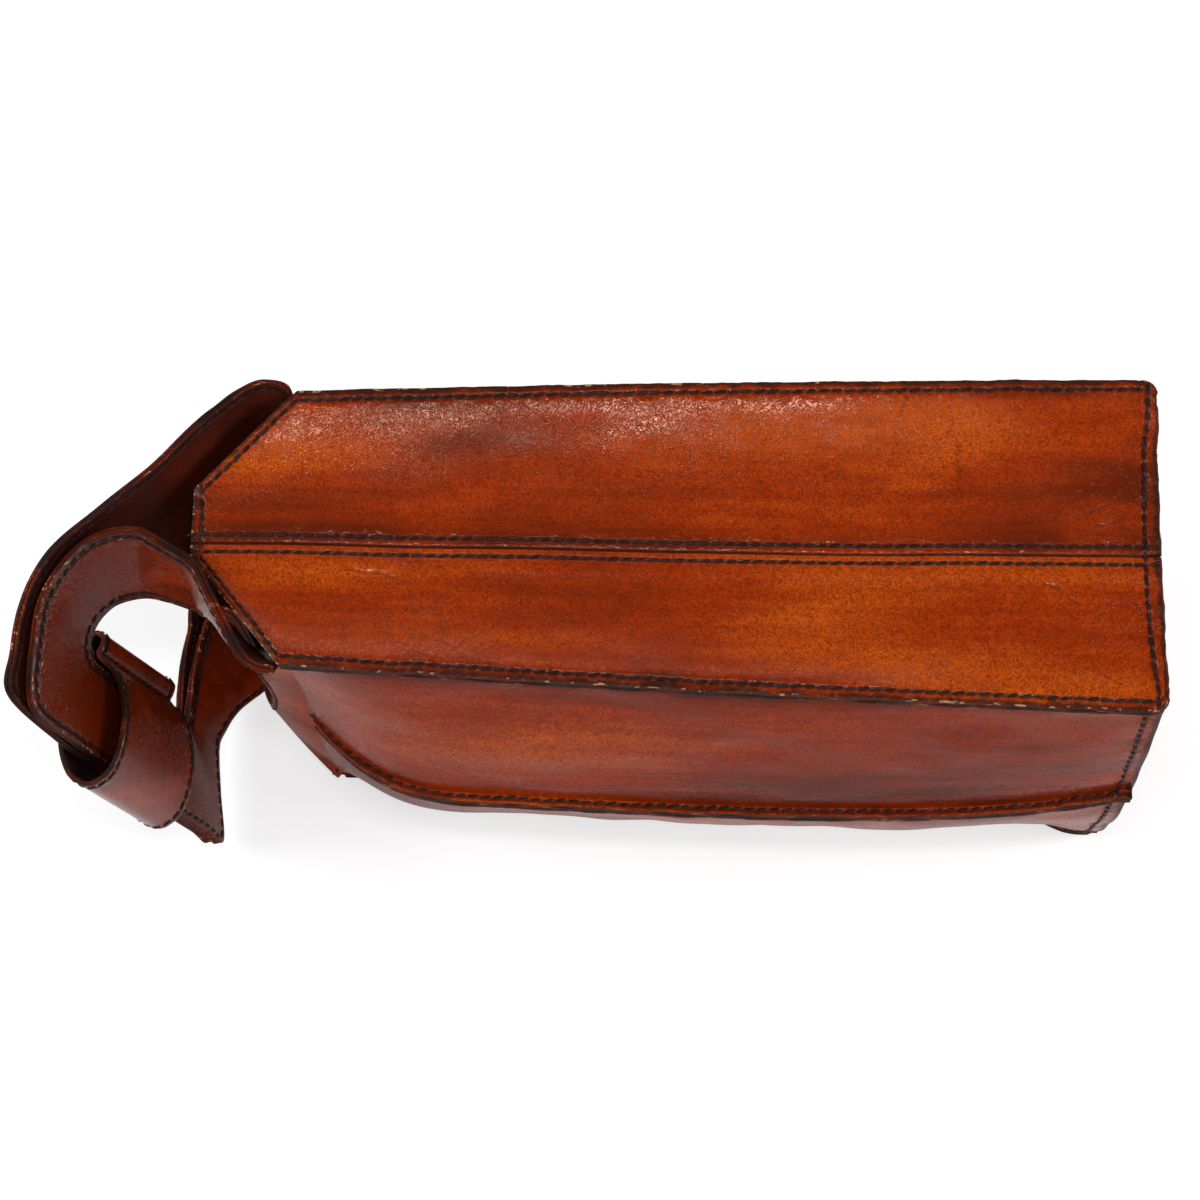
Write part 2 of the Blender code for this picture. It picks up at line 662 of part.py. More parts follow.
def build():
    clear_scene()
    collection = bpy.data.collections.new("leather_wine_carrier")
    bpy.context.scene.collection.children.link(collection)
    cognac = new_material("cognac_leather", (0.33, 0.075, 0.022), 0.42)
    deep = new_material("dark_cognac_leather", (0.17, 0.035, 0.014), 0.38)
    lining = new_material("lining_leather", (0.12, 0.035, 0.018), 0.62)
    backing = new_material("seam_strip_leather", (0.10, 0.035, 0.02), 0.7)
    board = new_material("pressed_board", (0.20, 0.13, 0.08), 0.8)

    for level, place in ((1, "upper"), (-1, "lower")):
        for side, name in ((-1, "near"), (1, "far")):
            label = f"{place}_gusset_{name}_half"
            add_sheet(label, gusset_rows(level, side), PANEL_LEATHER, cognac, collection)
            label = f"{name}_panel_{place}_half"
            add_sheet(label, panel_rows(side, level), PANEL_LEATHER, cognac if side > 0 else deep, collection)
        add_sheet(f"{place}_seam_strip", strip_rows(level), STRIP_LEATHER, backing, collection)
    add_flat("bottle_divider", divider_outline(), DIVIDER_LEATHER, lining, collection)
    add_base(cognac, board, collection)

    near = handle_stations(-1, NEAR_UPPER, NEAR_LOWER, NEAR_BODY, NEAR_BODY_UPPER)
    far = handle_stations(1, FAR_UPPER, FAR_LOWER, FAR_BODY, FAR_BODY_UPPER)
    near_cut = len(NEAR_UPPER) + len(NEAR_LOWER) - 5
    far_cut = len(FAR_UPPER) + len(FAR_LOWER) - 3
    near_names = ("near_handle_fold", "near_handle", "near_handle_lining")
    far_names = ("far_handle_fold", "far_handle", "far_handle_lining")
    near_pieces = add_handle(-1, near, 4, near_cut, near_names, deep, collection)
    far_pieces = add_handle(1, far, 4, far_cut, far_names, deep, collection)
    top = len(NEAR_UPPER) - 2
    bottom = len(NEAR_UPPER) + 1
    sleeve = add_sleeve(near, far, top, bottom, deep, collection)

    hinge = bpy.data.objects.new("handles_hinge", None)
    hinge.location = point(-BODY_LENGTH - 1, 0, 0)
    collection.objects.link(hinge)
    put_on_joint((*near_pieces[1:], *far_pieces[1:], sleeve), hinge)


build()
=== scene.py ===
"""Looks for the leather wine bottle carrier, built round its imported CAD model.

Sizes of shapes are in millimetres and are turned into metres where meshes are made. Colours are linear.
"""

import functools
import itertools
import math

import bmesh
import bpy
import numpy as np
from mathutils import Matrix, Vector, noise


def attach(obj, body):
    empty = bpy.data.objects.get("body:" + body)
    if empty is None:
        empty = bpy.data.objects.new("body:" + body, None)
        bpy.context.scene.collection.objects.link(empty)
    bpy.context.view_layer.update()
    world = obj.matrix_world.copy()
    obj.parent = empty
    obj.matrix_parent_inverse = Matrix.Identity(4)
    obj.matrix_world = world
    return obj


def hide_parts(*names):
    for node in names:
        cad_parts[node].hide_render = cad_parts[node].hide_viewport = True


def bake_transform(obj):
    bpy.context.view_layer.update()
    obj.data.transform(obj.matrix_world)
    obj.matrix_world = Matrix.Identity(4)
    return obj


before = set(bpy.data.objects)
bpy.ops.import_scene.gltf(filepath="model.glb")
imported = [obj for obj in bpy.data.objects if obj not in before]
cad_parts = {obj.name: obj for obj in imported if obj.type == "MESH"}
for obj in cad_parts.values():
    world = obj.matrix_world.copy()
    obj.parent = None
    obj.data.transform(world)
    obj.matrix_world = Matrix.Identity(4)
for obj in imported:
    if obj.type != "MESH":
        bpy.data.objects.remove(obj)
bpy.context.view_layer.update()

bl_info = {
    "name": "Leather Wine Bottle Carrier",
    "version": (1, 0, 0),
    "blender": (4, 5, 0),
    "location": "View3D > Sidebar > Carrier",
    "description": "Builds a sewn leather carrier for two wine bottles, lying on its side",
    "category": "Add Mesh",
}

MM = 0.001

# The part's own words: each level and side has its sign and its name
LEVELS = ((1, "upper"), (-1, "lower"))
SIDES = ((-1, "near"), (1, "far"))

# Body
BODY_LENGTH = 271.0
BODY_WIDTH = 158.0
GUSSET_AT_BASE = 112.0
GUSSET_AT_MOUTH = 93.0
LOWER_MOUTH_SET_BACK = 9.0
RESTING_TUCK = 9.0
BASE_RIM = 5.0
RIM_CORNER = 4.0
RIM_TURN_UP = 1.9
HALF_PANEL = 76.0
FLOOR_GAP = 0.2

# Seams
SEAM_GAP = 0.3
SEAM_MARGIN = 4.5
CLOSE_TRIM = 3.0
BUTT_SEAM_Y = -3.0
BACKING_WIDTH = 16.0
STRIP_LEATHER = 1.2
EDGE_ROUNDING = 0.28
EDGE_ANGLE = math.radians(55)
SHARP_ANGLE = math.radians(48)
RIDGE_ROW_INSET = 1.9
STITCH_SEED = 7
FAR_AWAY = 50.0

# Gussets
GUSSET_SAG_AT_BASE = 4.0
GUSSET_SAG_AT_MOUTH = 8.0
SAG_SHOULDER = 0.5
TONGUE_LENGTH = 31.0
TONGUE_TIP_WIDTH = 23.0
TONGUE_TIP_SHIFT = 4.5
TONGUE_DROOP = 9.0
LOWER_TONGUE_LENGTH = 15.0
LOWER_TONGUE_TIP_SHIFT = 16.0

# Places of a gusset's columns, in from its raw edge and from the butt line, and of its rows in the base rim
FROM_RAW_EDGE = (0, 1.0, 2.0, 3.0, 4.0, 5.0, 6.2)
FROM_BUTT_LINE = (0, 0.5, 1.1, 1.8, 2.9, 4.0, 5.2, 6.6, 8.0, 9.4, 11.0)
RIM_ROWS = (0, 0.4, 1.0, 1.9, 3.0, 4.1)

# The upper gusset beside its butt line: how far the backing strip lifts it, the middle rows of stitches pull
# it in and its cut edge turns down, and how far the base's row pulls it in
STRIP_LIFT = 0.45
ROW_PULL = 0.30
EDGE_TURN = 0.55
RIM_PULL = 0.5

# Ridge seams and the wall between the bottles
RIDGE_MARGIN = 3.7
RIDGE_BULGE_AT_BASE = 5.5
RIDGE_BULGE_MIDWAY = 18.2
RIDGE_CURL_AT_MOUTH = 29.0
FAR_RIDGE_DRAW_IN = 1.0
DIVIDER_SET_BACK = 15.0
DIVIDER_LEATHER = 1.6

# Base
BASE_LEATHER = 1.8
BOARD_THICKNESS = 2.0

# Old folds in the upper gusset, from one (x, y) to another, with their widths and how far their lines stray
FOLD_STRAY = 6.0
FOLDS = [
    ((-59.5, 44.0), (-56.0, 11.0), 1.2),
    ((-33.0, 7.0), (-3.0, 31.0), 1.5),
    ((-26.0, 5.0), (-2.0, 22.0), 1.2),
    ((-22.0, 3.0), (-3.0, 12.0), 1.0),
    ((-35.0, -9.0), (-20.0, -20.0), 1.1),
    ((-21.0, -40.0), (-5.0, -48.0), 1.2),
    ((-262.0, -8.0), (-222.0, -17.0), 1.6),
    ((-250.0, -6.0), (-214.0, -9.0), 1.2),
]

# Handles and grip sleeve
HANDLE_LEATHER = 1.5
LINING_LEATHER = 1.2
LINING_GAP = 0.25
SLEEVE_LENGTH = 55.0
SLEEVE_CHANNEL_WIDTH = 45.0
SLEEVE_CHANNEL_HEIGHT = 22.0
SLEEVE_ROLL_WIDTH = 7.0
SLEEVE_ROLL_HEIGHT = 5.6
SLEEVE_SEAM_ROOM = 6.0
FADE_PAST_MOUTH = 26.0
UNSEWN_HEIGHT = 70.0
NO_EDGE = 30.0
RING_STEPS = 14
RING_COLUMNS = 16
SLEEVE_STEPS = 7
SLEEVE_ROWS = 47

# Middles of the leather, measured from the middle of the body
PANEL_LEATHER = 1.8
HALF_WIDTH = BODY_WIDTH / 2
GUSSET_MID = HALF_WIDTH - PANEL_LEATHER / 2
FLANGE_MID = GUSSET_MID - PANEL_LEATHER - SEAM_GAP
RIDGE_MID = DIVIDER_LEATHER / 2 + SEAM_GAP + PANEL_LEATHER / 2
LOWER_BUTT_SHIFT = LOWER_TONGUE_TIP_SHIFT - TONGUE_TIP_SHIFT

# The camera, in metres
CAMERA_PLACE = (-0.1642, -0.3769, 1.0417)
CAMERA_AIM = (-0.1722, 0.0063, 0.0)

# Softboxes, in metres: name, place, aim, size, and which lamp setting gives what share of its power
MIDDLE = (-0.14, 0.0, 0.0)
SOFTBOXES = (
    ("overhead strip", (-0.14, -0.235, 1.05), (-0.14, 0.04, 0.08), (0.26, 0.06), "overhead_power", 1.0),
    ("overhead spot", (-0.336, -0.235, 1.05), (-0.25, 0.04, 0.08), (0.06, 0.06), "overhead_power", 0.22),
    ("front softbox", (0.15, -1.3, 0.6), MIDDLE, (0.9, 0.5), "front_power", 1.0),
    ("far side softbox", (-0.2, 1.4, 0.65), MIDDLE, (1.2, 0.5), "far_power", 1.0),
    ("base side softbox", (1.0, -0.15, 0.75), MIDDLE, (0.6, 0.6), "side_power", 1.25),
    ("mouth side softbox", (-1.3, 0.0, 0.75), MIDDLE, (0.6, 0.6), "side_power", 1.35),
)

# The colour of the gussets' sheen
GUSSET_TINT = (1.0, 0.80, 0.64)

# The handles' rings. A station is measured from the panel's nearest mouth corner: how far past the mouth, how
# far in across the gusset and how far down from the corner, first on the outer edge, then on the hole's edge.
NEAR_UPPER = [
    ((2.6, -1.5, 1.8), (20.0, 21.0, 27.0)),
    ((11.0, 1.5, 0.9), (23.0, 24.0, 27.0)),
    ((19.0, 14.5, 0.9), (25.0, 24.5, 27.0)),
    ((24.6, 25.0, 1.0), (28.0, 26.2, 27.4)),
    ((29.7, 33.8, 1.2), (31.0, 28.0, 28.0)),
    ((41.0, 41.5, 3.0), (40.0, 31.5, 29.5)),
    ((50.0, 46.5, 6.0), (48.0, 33.2, 31.5)),
    ((64.0, 44.5, 11.0), (58.0, 32.0, 36.0)),
    ((77.0, 32.5, 19.0), (64.0, 27.0, 40.0)),
    ((81.3, 16.5, 26.0), (66.5, 22.0, 44.0)),
    ((81.5, -3.5, 35.0), (66.5, 18.6, 50.5)),
    ((70.0, -10.0, 52.0), (65.0, 18.0, 59.0)),
    ((59.0, -12.5, 78.0), (59.7, 18.2, 76.0)),
]
NEAR_LOWER = [
    ((48.0, -14.0, 51.0), (53.5, 18.5, 62.0)),
    ((37.0, -14.8, 24.0), (48.5, 19.0, 46.0)),
    ((32.5, -15.0, 11.0), (44.8, 19.6, 34.0)),
    ((34.5, 2.5, 12.0), (44.6, 21.0, 32.5)),
    ((35.8, 17.5, 13.0), (44.3, 23.5, 31.7)),
    ((34.4, 24.8, 11.0), (44.2, 28.5, 31.0)),
    ((29.8, 34.3, 8.0), (44.1, 35.5, 30.0)),
    ((19.7, 44.5, 6.0), (43.5, 45.5, 28.5)),
    ((13.0, 53.5, 6.5), (42.0, 55.5, 27.5)),
    ((6.5, 58.5, 7.0), (39.0, 64.0, 28.0)),
    ((-0.5, 50.0, 6.5), (31.0, 61.0, 30.0)),
    ((-4.5, 30.0, 5.8), (22.0, 45.0, 35.0)),
    ((-6.4, 11.0, 5.0), (15.0, 26.5, 46.0)),
]
NEAR_BODY = [((-3.0, 11.5, 39.0), (11.5, 19.5, 63.0)), ((-0.8, 10.7, 79.0), (10.5, 17.5, 83.0))]
NEAR_BODY_UPPER = [((1.2, 7.0, 39.0), (13.0, 16.5, 51.0)), ((2.2, 4.2, 13.0), (16.5, 18.0, 37.0))]
FAR_UPPER = [
    ((1.8, -1.8, 1.8), (21.0, 11.0, 32.0)),
    ((10.0, -4.0, 0.9), (27.0, 25.0, 36.5)),
    ((18.0, -0.5, 0.9), (31.0, 35.0, 38.5)),
    ((25.0, 5.5, 1.0), (35.5, 44.0, 40.0)),
    ((32.0, 12.0, 1.4), (40.0, 47.0, 39.5)),
    ((45.0, 25.5, 4.0), (47.0, 49.0, 38.5)),
    ((61.0, 37.0, 10.0), (57.5, 54.5, 39.0)),
    ((78.0, 50.5, 17.0), (69.0, 60.0, 41.5)),
    ((86.5, 66.5, 23.5), (74.5, 67.0, 46.0)),
    ((89.0, 80.5, 28.5), (75.0, 72.0, 51.0)),
    ((89.5, 93.0, 33.0), (73.5, 74.7, 56.0)),
    ((76.5, 102.0, 53.5), (69.5, 74.7, 64.0)),
    ((64.0, 105.2, 80.0), (64.4, 74.5, 78.0)),
]
FAR_LOWER = [
    ((53.0, 106.7, 49.0), (58.4, 74.2, 60.0)),
    ((42.0, 107.5, 22.0), (53.3, 73.7, 44.0)),
    ((37.5, 107.5, 9.0), (49.6, 73.0, 31.5)),
    ((39.5, 90.0, 9.5), (49.3, 71.5, 30.0)),
    ((40.5, 74.5, 10.0), (49.0, 69.0, 29.4)),
    ((38.8, 66.5, 8.5), (48.8, 63.5, 28.7)),
    ((34.8, 56.0, 6.0), (49.2, 55.5, 27.0)),
    ((27.0, 44.5, 5.0), (48.8, 44.5, 25.5)),
    ((19.5, 33.5, 5.0), (47.5, 34.0, 24.5)),
    ((13.0, 24.5, 4.8), (47.5, 24.5, 25.5)),
    ((7.0, 13.5, 5.6), (45.0, 15.5, 28.0)),
    ((2.4, 3.0, 5.2), (38.0, 7.5, 34.0)),
]
FAR_BODY = [((1.6, 3.2, 39.0), (25.0, 5.0, 58.0)), ((1.6, 4.7, 79.0), (16.0, 5.5, 81.0))]
FAR_BODY_UPPER = [((1.6, 4.7, 39.0), (16.0, 5.5, 53.0)), ((1.6, 4.2, 13.0), (18.0, 6.0, 36.0))]

# For each side, its tables in order round the ring, with the level whose corner they are measured from
HANDLES = {
    -1: ((NEAR_UPPER, 1), (NEAR_LOWER, -1), (NEAR_BODY, -1), (NEAR_BODY_UPPER, 1)),
    1: ((FAR_UPPER, 1), (FAR_LOWER, -1), (FAR_BODY, -1), (FAR_BODY_UPPER, 1)),
}


# Settings


def number_setting(name, description, default, **others):
    return bpy.props.FloatProperty(name=name, description=description, default=default, **others)


def length_setting(name, description, millimetres):
    kind = {"subtype": "DISTANCE", "unit": "LENGTH", "precision": 5}
    return number_setting(name, description, millimetres * MM, min=0.0, **kind)


def colour_setting(name, description, colour):
    kind = {"subtype": "COLOR", "size": 3, "min": 0.0, "max": 1.0}
    return bpy.props.FloatVectorProperty(name=name, description=description, default=colour, **kind)


class CarrierLeather(bpy.types.PropertyGroup):
    """The leather's thickness and finish."""

    panel_leather: length_setting("Body leather", "Thickness of the gussets and broad panels", PANEL_LEATHER)
    handle_leather: length_setting("Handle leather", "Thickness of the handles' outer layer", HANDLE_LEATHER)
    handle_crown: length_setting("Handle crown", "How far the middle of a strap stands above its edges", 0.7)
    unevenness: length_setting("Unevenness", "Height of the soft dents over the body", 0.7)
    edge_waver: length_setting("Edge waver", "How far the hand-cut raw edges wander", 0.35)
    # The dyes and the burnish also carry painted shade and light: the tone notes move the colour between the
    # dyes, and the burnish is partly painted shade in the stitch rows' grooves
    light_dye: colour_setting("Light dye", "Where the dye is thin", (0.50, 0.076, 0.004))
    middle_dye: colour_setting("Middle dye", "Most of the surface", (0.31, 0.029, 0.002))
    dark_dye: colour_setting("Dark dye", "Where the dye has gathered", (0.105, 0.011, 0.002))
    burnish: colour_setting("Burnish", "Rubbed dark leather along the edges", (0.02, 0.006, 0.004))
    worn: colour_setting("Worn edge", "Bare fibres along the edges", (0.5, 0.25, 0.11))
    lining_dye: colour_setting("Lining dye", "Handle linings and the flesh side", (0.030, 0.006, 0.004))
    grain_size: length_setting("Grain size", "Width of the wavy grain", 1.35)
    grain_depth: length_setting("Grain depth", "Depth of the wavy grain", 0.032)
    roughness: number_setting("Roughness", "Of the waxed surface", 0.21, min=0, max=1)


class CarrierStitching(bpy.types.PropertyGroup):
    """The hand stitching along the seams."""

    pitch: length_setting("Pitch", "Distance from one stitch to the next", 4.15)
    stitch_length: length_setting("Stitch length", "Length of one stitch", 3.7)
    thread: length_setting("Thread", "Thickness of the waxed thread", 1.1)
    row_inset: length_setting("Row inset", "Distance of the rows from the raw edges", 3.3)
    handle_thread: length_setting("Handle thread", "Thickness of the thread in handles and sleeve", 0.8)
    handle_inset: length_setting("Handle inset", "Distance of the handles' rows from the raw edges", 2.4)
    rim_inset: length_setting("Rim inset", "Distance of the base's row from the rim", 4.9)
    butt_inset: length_setting("Butt inset", "Distance of the two middle rows from the butt line", 2.9)
    slant: number_setting("Slant", "Turn of each stitch across its row", math.radians(13), subtype="ANGLE")
    thread_colour: colour_setting("Thread colour", "Dark waxed thread", (0.008, 0.0035, 0.003))


class CarrierStage(bpy.types.PropertyGroup):
    """The floor, the lamps and the camera."""

    floor_size: length_setting("Floor size", "Side of the square floor", 6000)
    floor_colour: colour_setting("Floor colour", "Plain pale floor", (0.84, 0.84, 0.84))
    overhead_power: number_setting("Overhead", "Strip softbox above, in watts", 2.6)
    side_power: number_setting("Sides", "Softboxes at both ends, in watts", 9.5)
    far_power: number_setting("Far side", "Softbox behind the far side, in watts", 3.0)
    front_power: number_setting("Front", "Softbox at the camera's side, in watts", 5.0)
    sky: number_setting("Sky", "Strength of the even light from all round", 0.07)
    lens: number_setting("Lens", "Focal length in millimetres", 98.4, min=1)


# Shapes of the body


def between(low, high, t):
    return low + (high - low) * t


def clamp(t):
    return min(1.0, max(0.0, t))


def ease(t):
    t = clamp(t)
    return t * t * (3 - 2 * t)


def ease_all(values):
    values = np.clip(values, 0.0, 1.0)
    return values * values * (3 - 2 * values)


def bump(distance, reach):
    """1 at no distance, fading out over a reach."""
    return np.exp(-((distance / reach) ** 2))


def as_grid(rows):
    return np.array([[tuple(p) for p in row] for row in rows])


def along_body(s):
    return clamp(s / BODY_LENGTH)


def wander(*place):
    """Smooth noise from -1 to 1 at a place."""
    return noise.noise(Vector(place))


def upper_edge(s):
    t = along_body(s)
    return between(GUSSET_AT_BASE, GUSSET_AT_MOUTH, 0.55 * t + 0.45 * t * t) / 2


def lower_near_edge(s):
    t = along_body(s)
    tuck = RESTING_TUCK * ease((s - 2) / 26) * (1 - 0.25 * ease((t - 0.8) / 0.2))
    return upper_edge(s) - 3.0 - tuck


def lower_far_edge(s):
    return upper_edge(s) + 0.6 * RESTING_TUCK * ease((s - 2) / 60)


def near_ridge(s):
    t = along_body(s)
    swell = between(RIDGE_BULGE_AT_BASE, RIDGE_BULGE_MIDWAY, 1 - math.exp(-5.4 * t))
    curl = RIDGE_CURL_AT_MOUTH * max(0.0, (t - 0.8) / 0.2) ** 2.3
    return upper_edge(s) - SEAM_MARGIN + swell - curl


def far_ridge(s):
    t = along_body(s)
    draw = FAR_RIDGE_DRAW_IN + 4.0 * math.sin(math.pi * min(1.0, t / 0.9))
    return upper_edge(s) - SEAM_MARGIN - draw


def edge_function(level, side):
    if level > 0:
        return upper_edge
    return lower_far_edge if side > 0 else lower_near_edge


def mouth_at(side, z):
    if side > 0:
        return BODY_LENGTH - 1
    return BODY_LENGTH - LOWER_MOUTH_SET_BACK * (HALF_WIDTH - z) / BODY_WIDTH


def sag(s):
    return between(GUSSET_SAG_AT_BASE, GUSSET_SAG_AT_MOUTH, ease(max(0.0, s / BODY_LENGTH) / 0.4))


def dip(s, share):
    """How far the upper gusset lies below its seam (share 0) on the way to the butt line (1)."""
    return sag(s) * (1 - math.cos(math.pi * clamp(share) ** SAG_SHOULDER)) / 2


def rim_rounding(s):
    """How far the raw edge is drawn in where it turns the rim's corner."""
    d = s + BASE_RIM
    if d >= RIM_CORNER:
        return 0.0
    return RIM_CORNER - math.sqrt(max(0.0, RIM_CORNER**2 - (RIM_CORNER - d) ** 2))


def edge_waver(s, seed, amount):
    """The raw edge isn't a ruled line."""
    return amount * (wander(s / 9.0, seed, 0.3) + 0.6 * wander(s / 2.6, seed, 7.1))


def close_trim(s, level, side):
    """The lower near margin is cut closer at both ends, where it would peek out from under the body."""
    if level > 0 or side > 0:
        return 0.0
    return CLOSE_TRIM * max(ease((s - 232) / 16), ease((42 - s) / 26))


def seam_wave(s, level, side):
    """A whole seam rises and falls a little along its length."""
    fade = ease((s - 4) / 25) * ease((BODY_LENGTH - 3 - s) / 30)
    return 0.55 * fade * wander(s / 34.0, level * 3.0 + side, 2.2)


def soft_dents(a, b, seed, amount):
    """Shallow dents over a face, at a place in millimetres."""
    return amount * (wander(a / 42.0, b / 30.0, seed) + 0.35 * wander(a / 15.0, b / 12.0, seed + 9))


def tongue_length(level):
    return TONGUE_LENGTH if level > 0 else LOWER_TONGUE_LENGTH


def butt_line(level):
    return BUTT_SEAM_Y if level > 0 else BUTT_SEAM_Y + LOWER_BUTT_SHIFT


def gusset_edge(level, side, s):
    edge_of = edge_function(level, side)
    corner = mouth_at(side, level * HALF_WIDTH)
    if s <= corner:
        return side * edge_of(s)
    shift = TONGUE_TIP_SHIFT if level > 0 else LOWER_TONGUE_TIP_SHIFT
    t = (s - corner) / (BODY_LENGTH + tongue_length(level) - corner)
    return between(side * edge_of(corner), shift + side * TONGUE_TIP_WIDTH / 2, t)


def gusset_height(level, side, s, y):
    if level < 0:
        return -GUSSET_MID
    beyond = max(0.0, s - BODY_LENGTH) / TONGUE_LENGTH
    outer = gusset_edge(level, side, s)
    root = outer - side * SEAM_MARGIN * (1 - beyond)
    share = (y - root) / (BUTT_SEAM_Y - root)
    return GUSSET_MID - dip(s, share) * (1 - beyond) - TONGUE_DROOP * beyond


def panel_distance(side, level, s, share):
    """How far a broad panel stands from the middle plane, from its gusset seam (share 0) to its ridge (1)."""
    root = edge_function(level, side)(s) - SEAM_MARGIN
    ridge = (far_ridge if side > 0 else near_ridge)(s)
    if level > 0:
        swell = 0.45 * share + 0.55 * math.sin(math.pi * share / 2)
    elif side < 0:
        swell = 1 - (1 - share) ** 2.2
    else:
        swell = share
    return between(root, ridge, swell)


def spread(width, from_first, from_last, middle):
    """Places across a width: some at set distances from either side, and the rest evenly between them."""
    needed = from_first[-1] + from_last[-1]
    scale = min(1.0, 0.85 * width / needed)
    low = [d * scale for d in from_first]
    high = [width - d * scale for d in from_last]
    inner = [between(low[-1], high[-1], k / (middle + 1)) for k in range(1, middle + 1)]
    return low + inner + high[::-1]


def soften(points, corners, radius):
    """Rounds the corners of a line of points with short curves."""
    steps = 5
    result = []
    for i, p in enumerate(points):
        if i not in corners:
            result.append(p)
            continue
        before, after = points[i - 1] - p, points[i + 1] - p
        a = p + before.normalized() * min(radius, before.length * 0.8)
        b = p + after.normalized() * min(radius, after.length * 0.8)
        for k in range(steps):
            t = k / (steps - 1)
            result.append(a * (1 - t) ** 2 + p * 2 * t * (1 - t) + b * t * t)
    return result


def gusset_grid(level, side, look):
    """One half of a gusset, with rows along the body and columns from the raw edge to the butt line."""
    butt = butt_line(level) + side * SEAM_GAP / 2
    corner = mouth_at(side, level * HALF_WIDTH)
    end = BODY_LENGTH + tongue_length(level)
    stations = [-BASE_RIM + d for d in RIM_ROWS]
    stations += list(np.linspace(0, corner, 150)) + list(np.linspace(corner, end, 22)[1:])
    dents, waver = look.unevenness / MM, look.edge_waver / MM
    grid = []
    for s in stations:
        beyond = max(0.0, s - BODY_LENGTH) / tongue_length(level)
        outer = gusset_edge(level, side, s)
        cut_in = rim_rounding(s) + edge_waver(s, level + 5 * side, waver) + close_trim(s, level, side)
        outer -= side * cut_in
        width = abs(outer - butt)
        row = []
        for d in spread(width, FROM_RAW_EDGE, FROM_BUTT_LINE, 22):
            y = outer - side * d
            x = -s + 0.8 * wander(y / 12.0, side, level) * (1 - ease((s + BASE_RIM) / 6))
            z = gusset_height(level, side, s, y)
            if level > 0:
                from_butt = width - d
                lifted = STRIP_LIFT * (1 - ease((from_butt - 7.2) / 2.4))
                pulled = ROW_PULL * bump(from_butt - 2.9, 0.9)
                turned = EDGE_TURN * bump(from_butt, 0.8)
                puckered = 0.75 + 0.5 * wander(y / 3.6, s / 5.0, 3.1)
                z += soft_dents(s, y, 4.0, dents) * ease((d - 4) / 12) + (lifted - pulled - turned)
                z += RIM_TURN_UP * puckered * max(0.0, -s / BASE_RIM) ** 1.6 - RIM_PULL * bump(s, 1.4)
                z += seam_wave(s, level, side) * (1 - ease((d - 5) / 14)) * (1 - beyond)
            row.append(Vector((x, y, z)))
        grid.append(row)
    return as_grid(grid)


def panel_grid(side, level, look):
    """One half of a broad panel, with columns over the seam margin, the face and the ridge's margin."""
    shares = [0.0] + list(np.linspace(0.045, 0.955, 40)) + [1.0]
    stations = [0.0, 0.0015, 0.004, 0.0075, 0.012] + list(np.linspace(0.018, 1.0, 150))
    dents, waver = look.unevenness / MM, look.edge_waver / MM
    edge_of = edge_function(level, side)
    ridge_of = far_ridge if side > 0 else near_ridge
    grid = []
    for station in stations:
        row = []

        def place(z, distance_at, lift=0.0):
            s = between(-BASE_RIM, mouth_at(side, z), station)
            row.append(Vector((-s, side * distance_at(s), z + lift)))

        middle_s = between(-BASE_RIM, BODY_LENGTH, station)
        wave = seam_wave(middle_s, level, side) if level > 0 else 0.0
        pull = rim_rounding(middle_s) + edge_waver(middle_s, level + 5 * side + 2.5, waver)
        pull = min(3.3, pull + close_trim(middle_s, level, side))
        for d in (0.0, 1.1, 2.2):
            place(level * FLANGE_MID, lambda s: edge_of(s) - pull * (1 - d / 3.4) - d, wave)
        for share in shares:
            fade = ease(share / 0.16) * ease((1 - share) / 0.16) * ease((BODY_LENGTH - 3 - middle_s) / 40)
            dent = soft_dents(middle_s, share * HALF_PANEL * level, 11.0 + side, 2.2 * dents) * fade
            z = level * between(FLANGE_MID, RIDGE_MID, share)
            lift = wave * (1 - ease(share / 0.2))
            place(z, lambda s: panel_distance(side, level, s, share) + dent, lift)
        ragged = edge_waver(middle_s, 20 + level + 5 * side, waver)
        for d in (1.7, 2.7, RIDGE_MARGIN):
            place(level * RIDGE_MID, lambda s: ridge_of(s) + d + ragged * (d / RIDGE_MARGIN))
        grid.append(soften(row, {3, 3 + len(shares) - 1}, 1.7))
    return as_grid(grid)


def strip_grid(level):
    """The backing strip under a butt seam."""
    under = PANEL_LEATHER / 2 + SEAM_GAP + STRIP_LEATHER / 2
    start = BASE_LEATHER + BOARD_THICKNESS + SEAM_GAP * 4
    grid = []
    for s in np.linspace(start, BODY_LENGTH + tongue_length(level), 110):
        near_limit = gusset_edge(level, -1, s) + 1.0
        far_limit = gusset_edge(level, 1, s) - 1.0
        row = []
        for across in np.linspace(-1, 1, 13):
            y = min(far_limit, max(near_limit, butt_line(level) + across * BACKING_WIDTH / 2))
            row.append((-s, y, gusset_height(level, -1 if across <= 0 else 1, s, y) - level * under))
        grid.append(row)
    return np.array(grid)


def base_ring(inset):
    """The inside of the four sides at the base, taken in by a distance, as (y, z) points in order."""
    top = GUSSET_MID - inset
    root = upper_edge(0) - SEAM_MARGIN
    points = []
    for y in np.linspace(-root + inset, root - inset, 26):
        points.append((y, top - dip(0, (root - abs(y)) / (root - abs(BUTT_SEAM_Y)))))
    for side in (1, -1):
        face = []
        for level, shares in ((1, np.linspace(0, 1, 19)), (-1, np.linspace(1, 0, 19)[1:])):
            for share in shares:
                y = side * (panel_distance(side, level, 0.0, share) - inset)
                face.append((y, between(level * top, 0, share)))
        points += face[1:] if side > 0 else face[::-1][:-1]
        if side > 0:
            near = -(lower_near_edge(0) - SEAM_MARGIN - inset)
            points += [(y, -top) for y in np.linspace(points[-1][0], near, 26)[1:-1]]
    return points


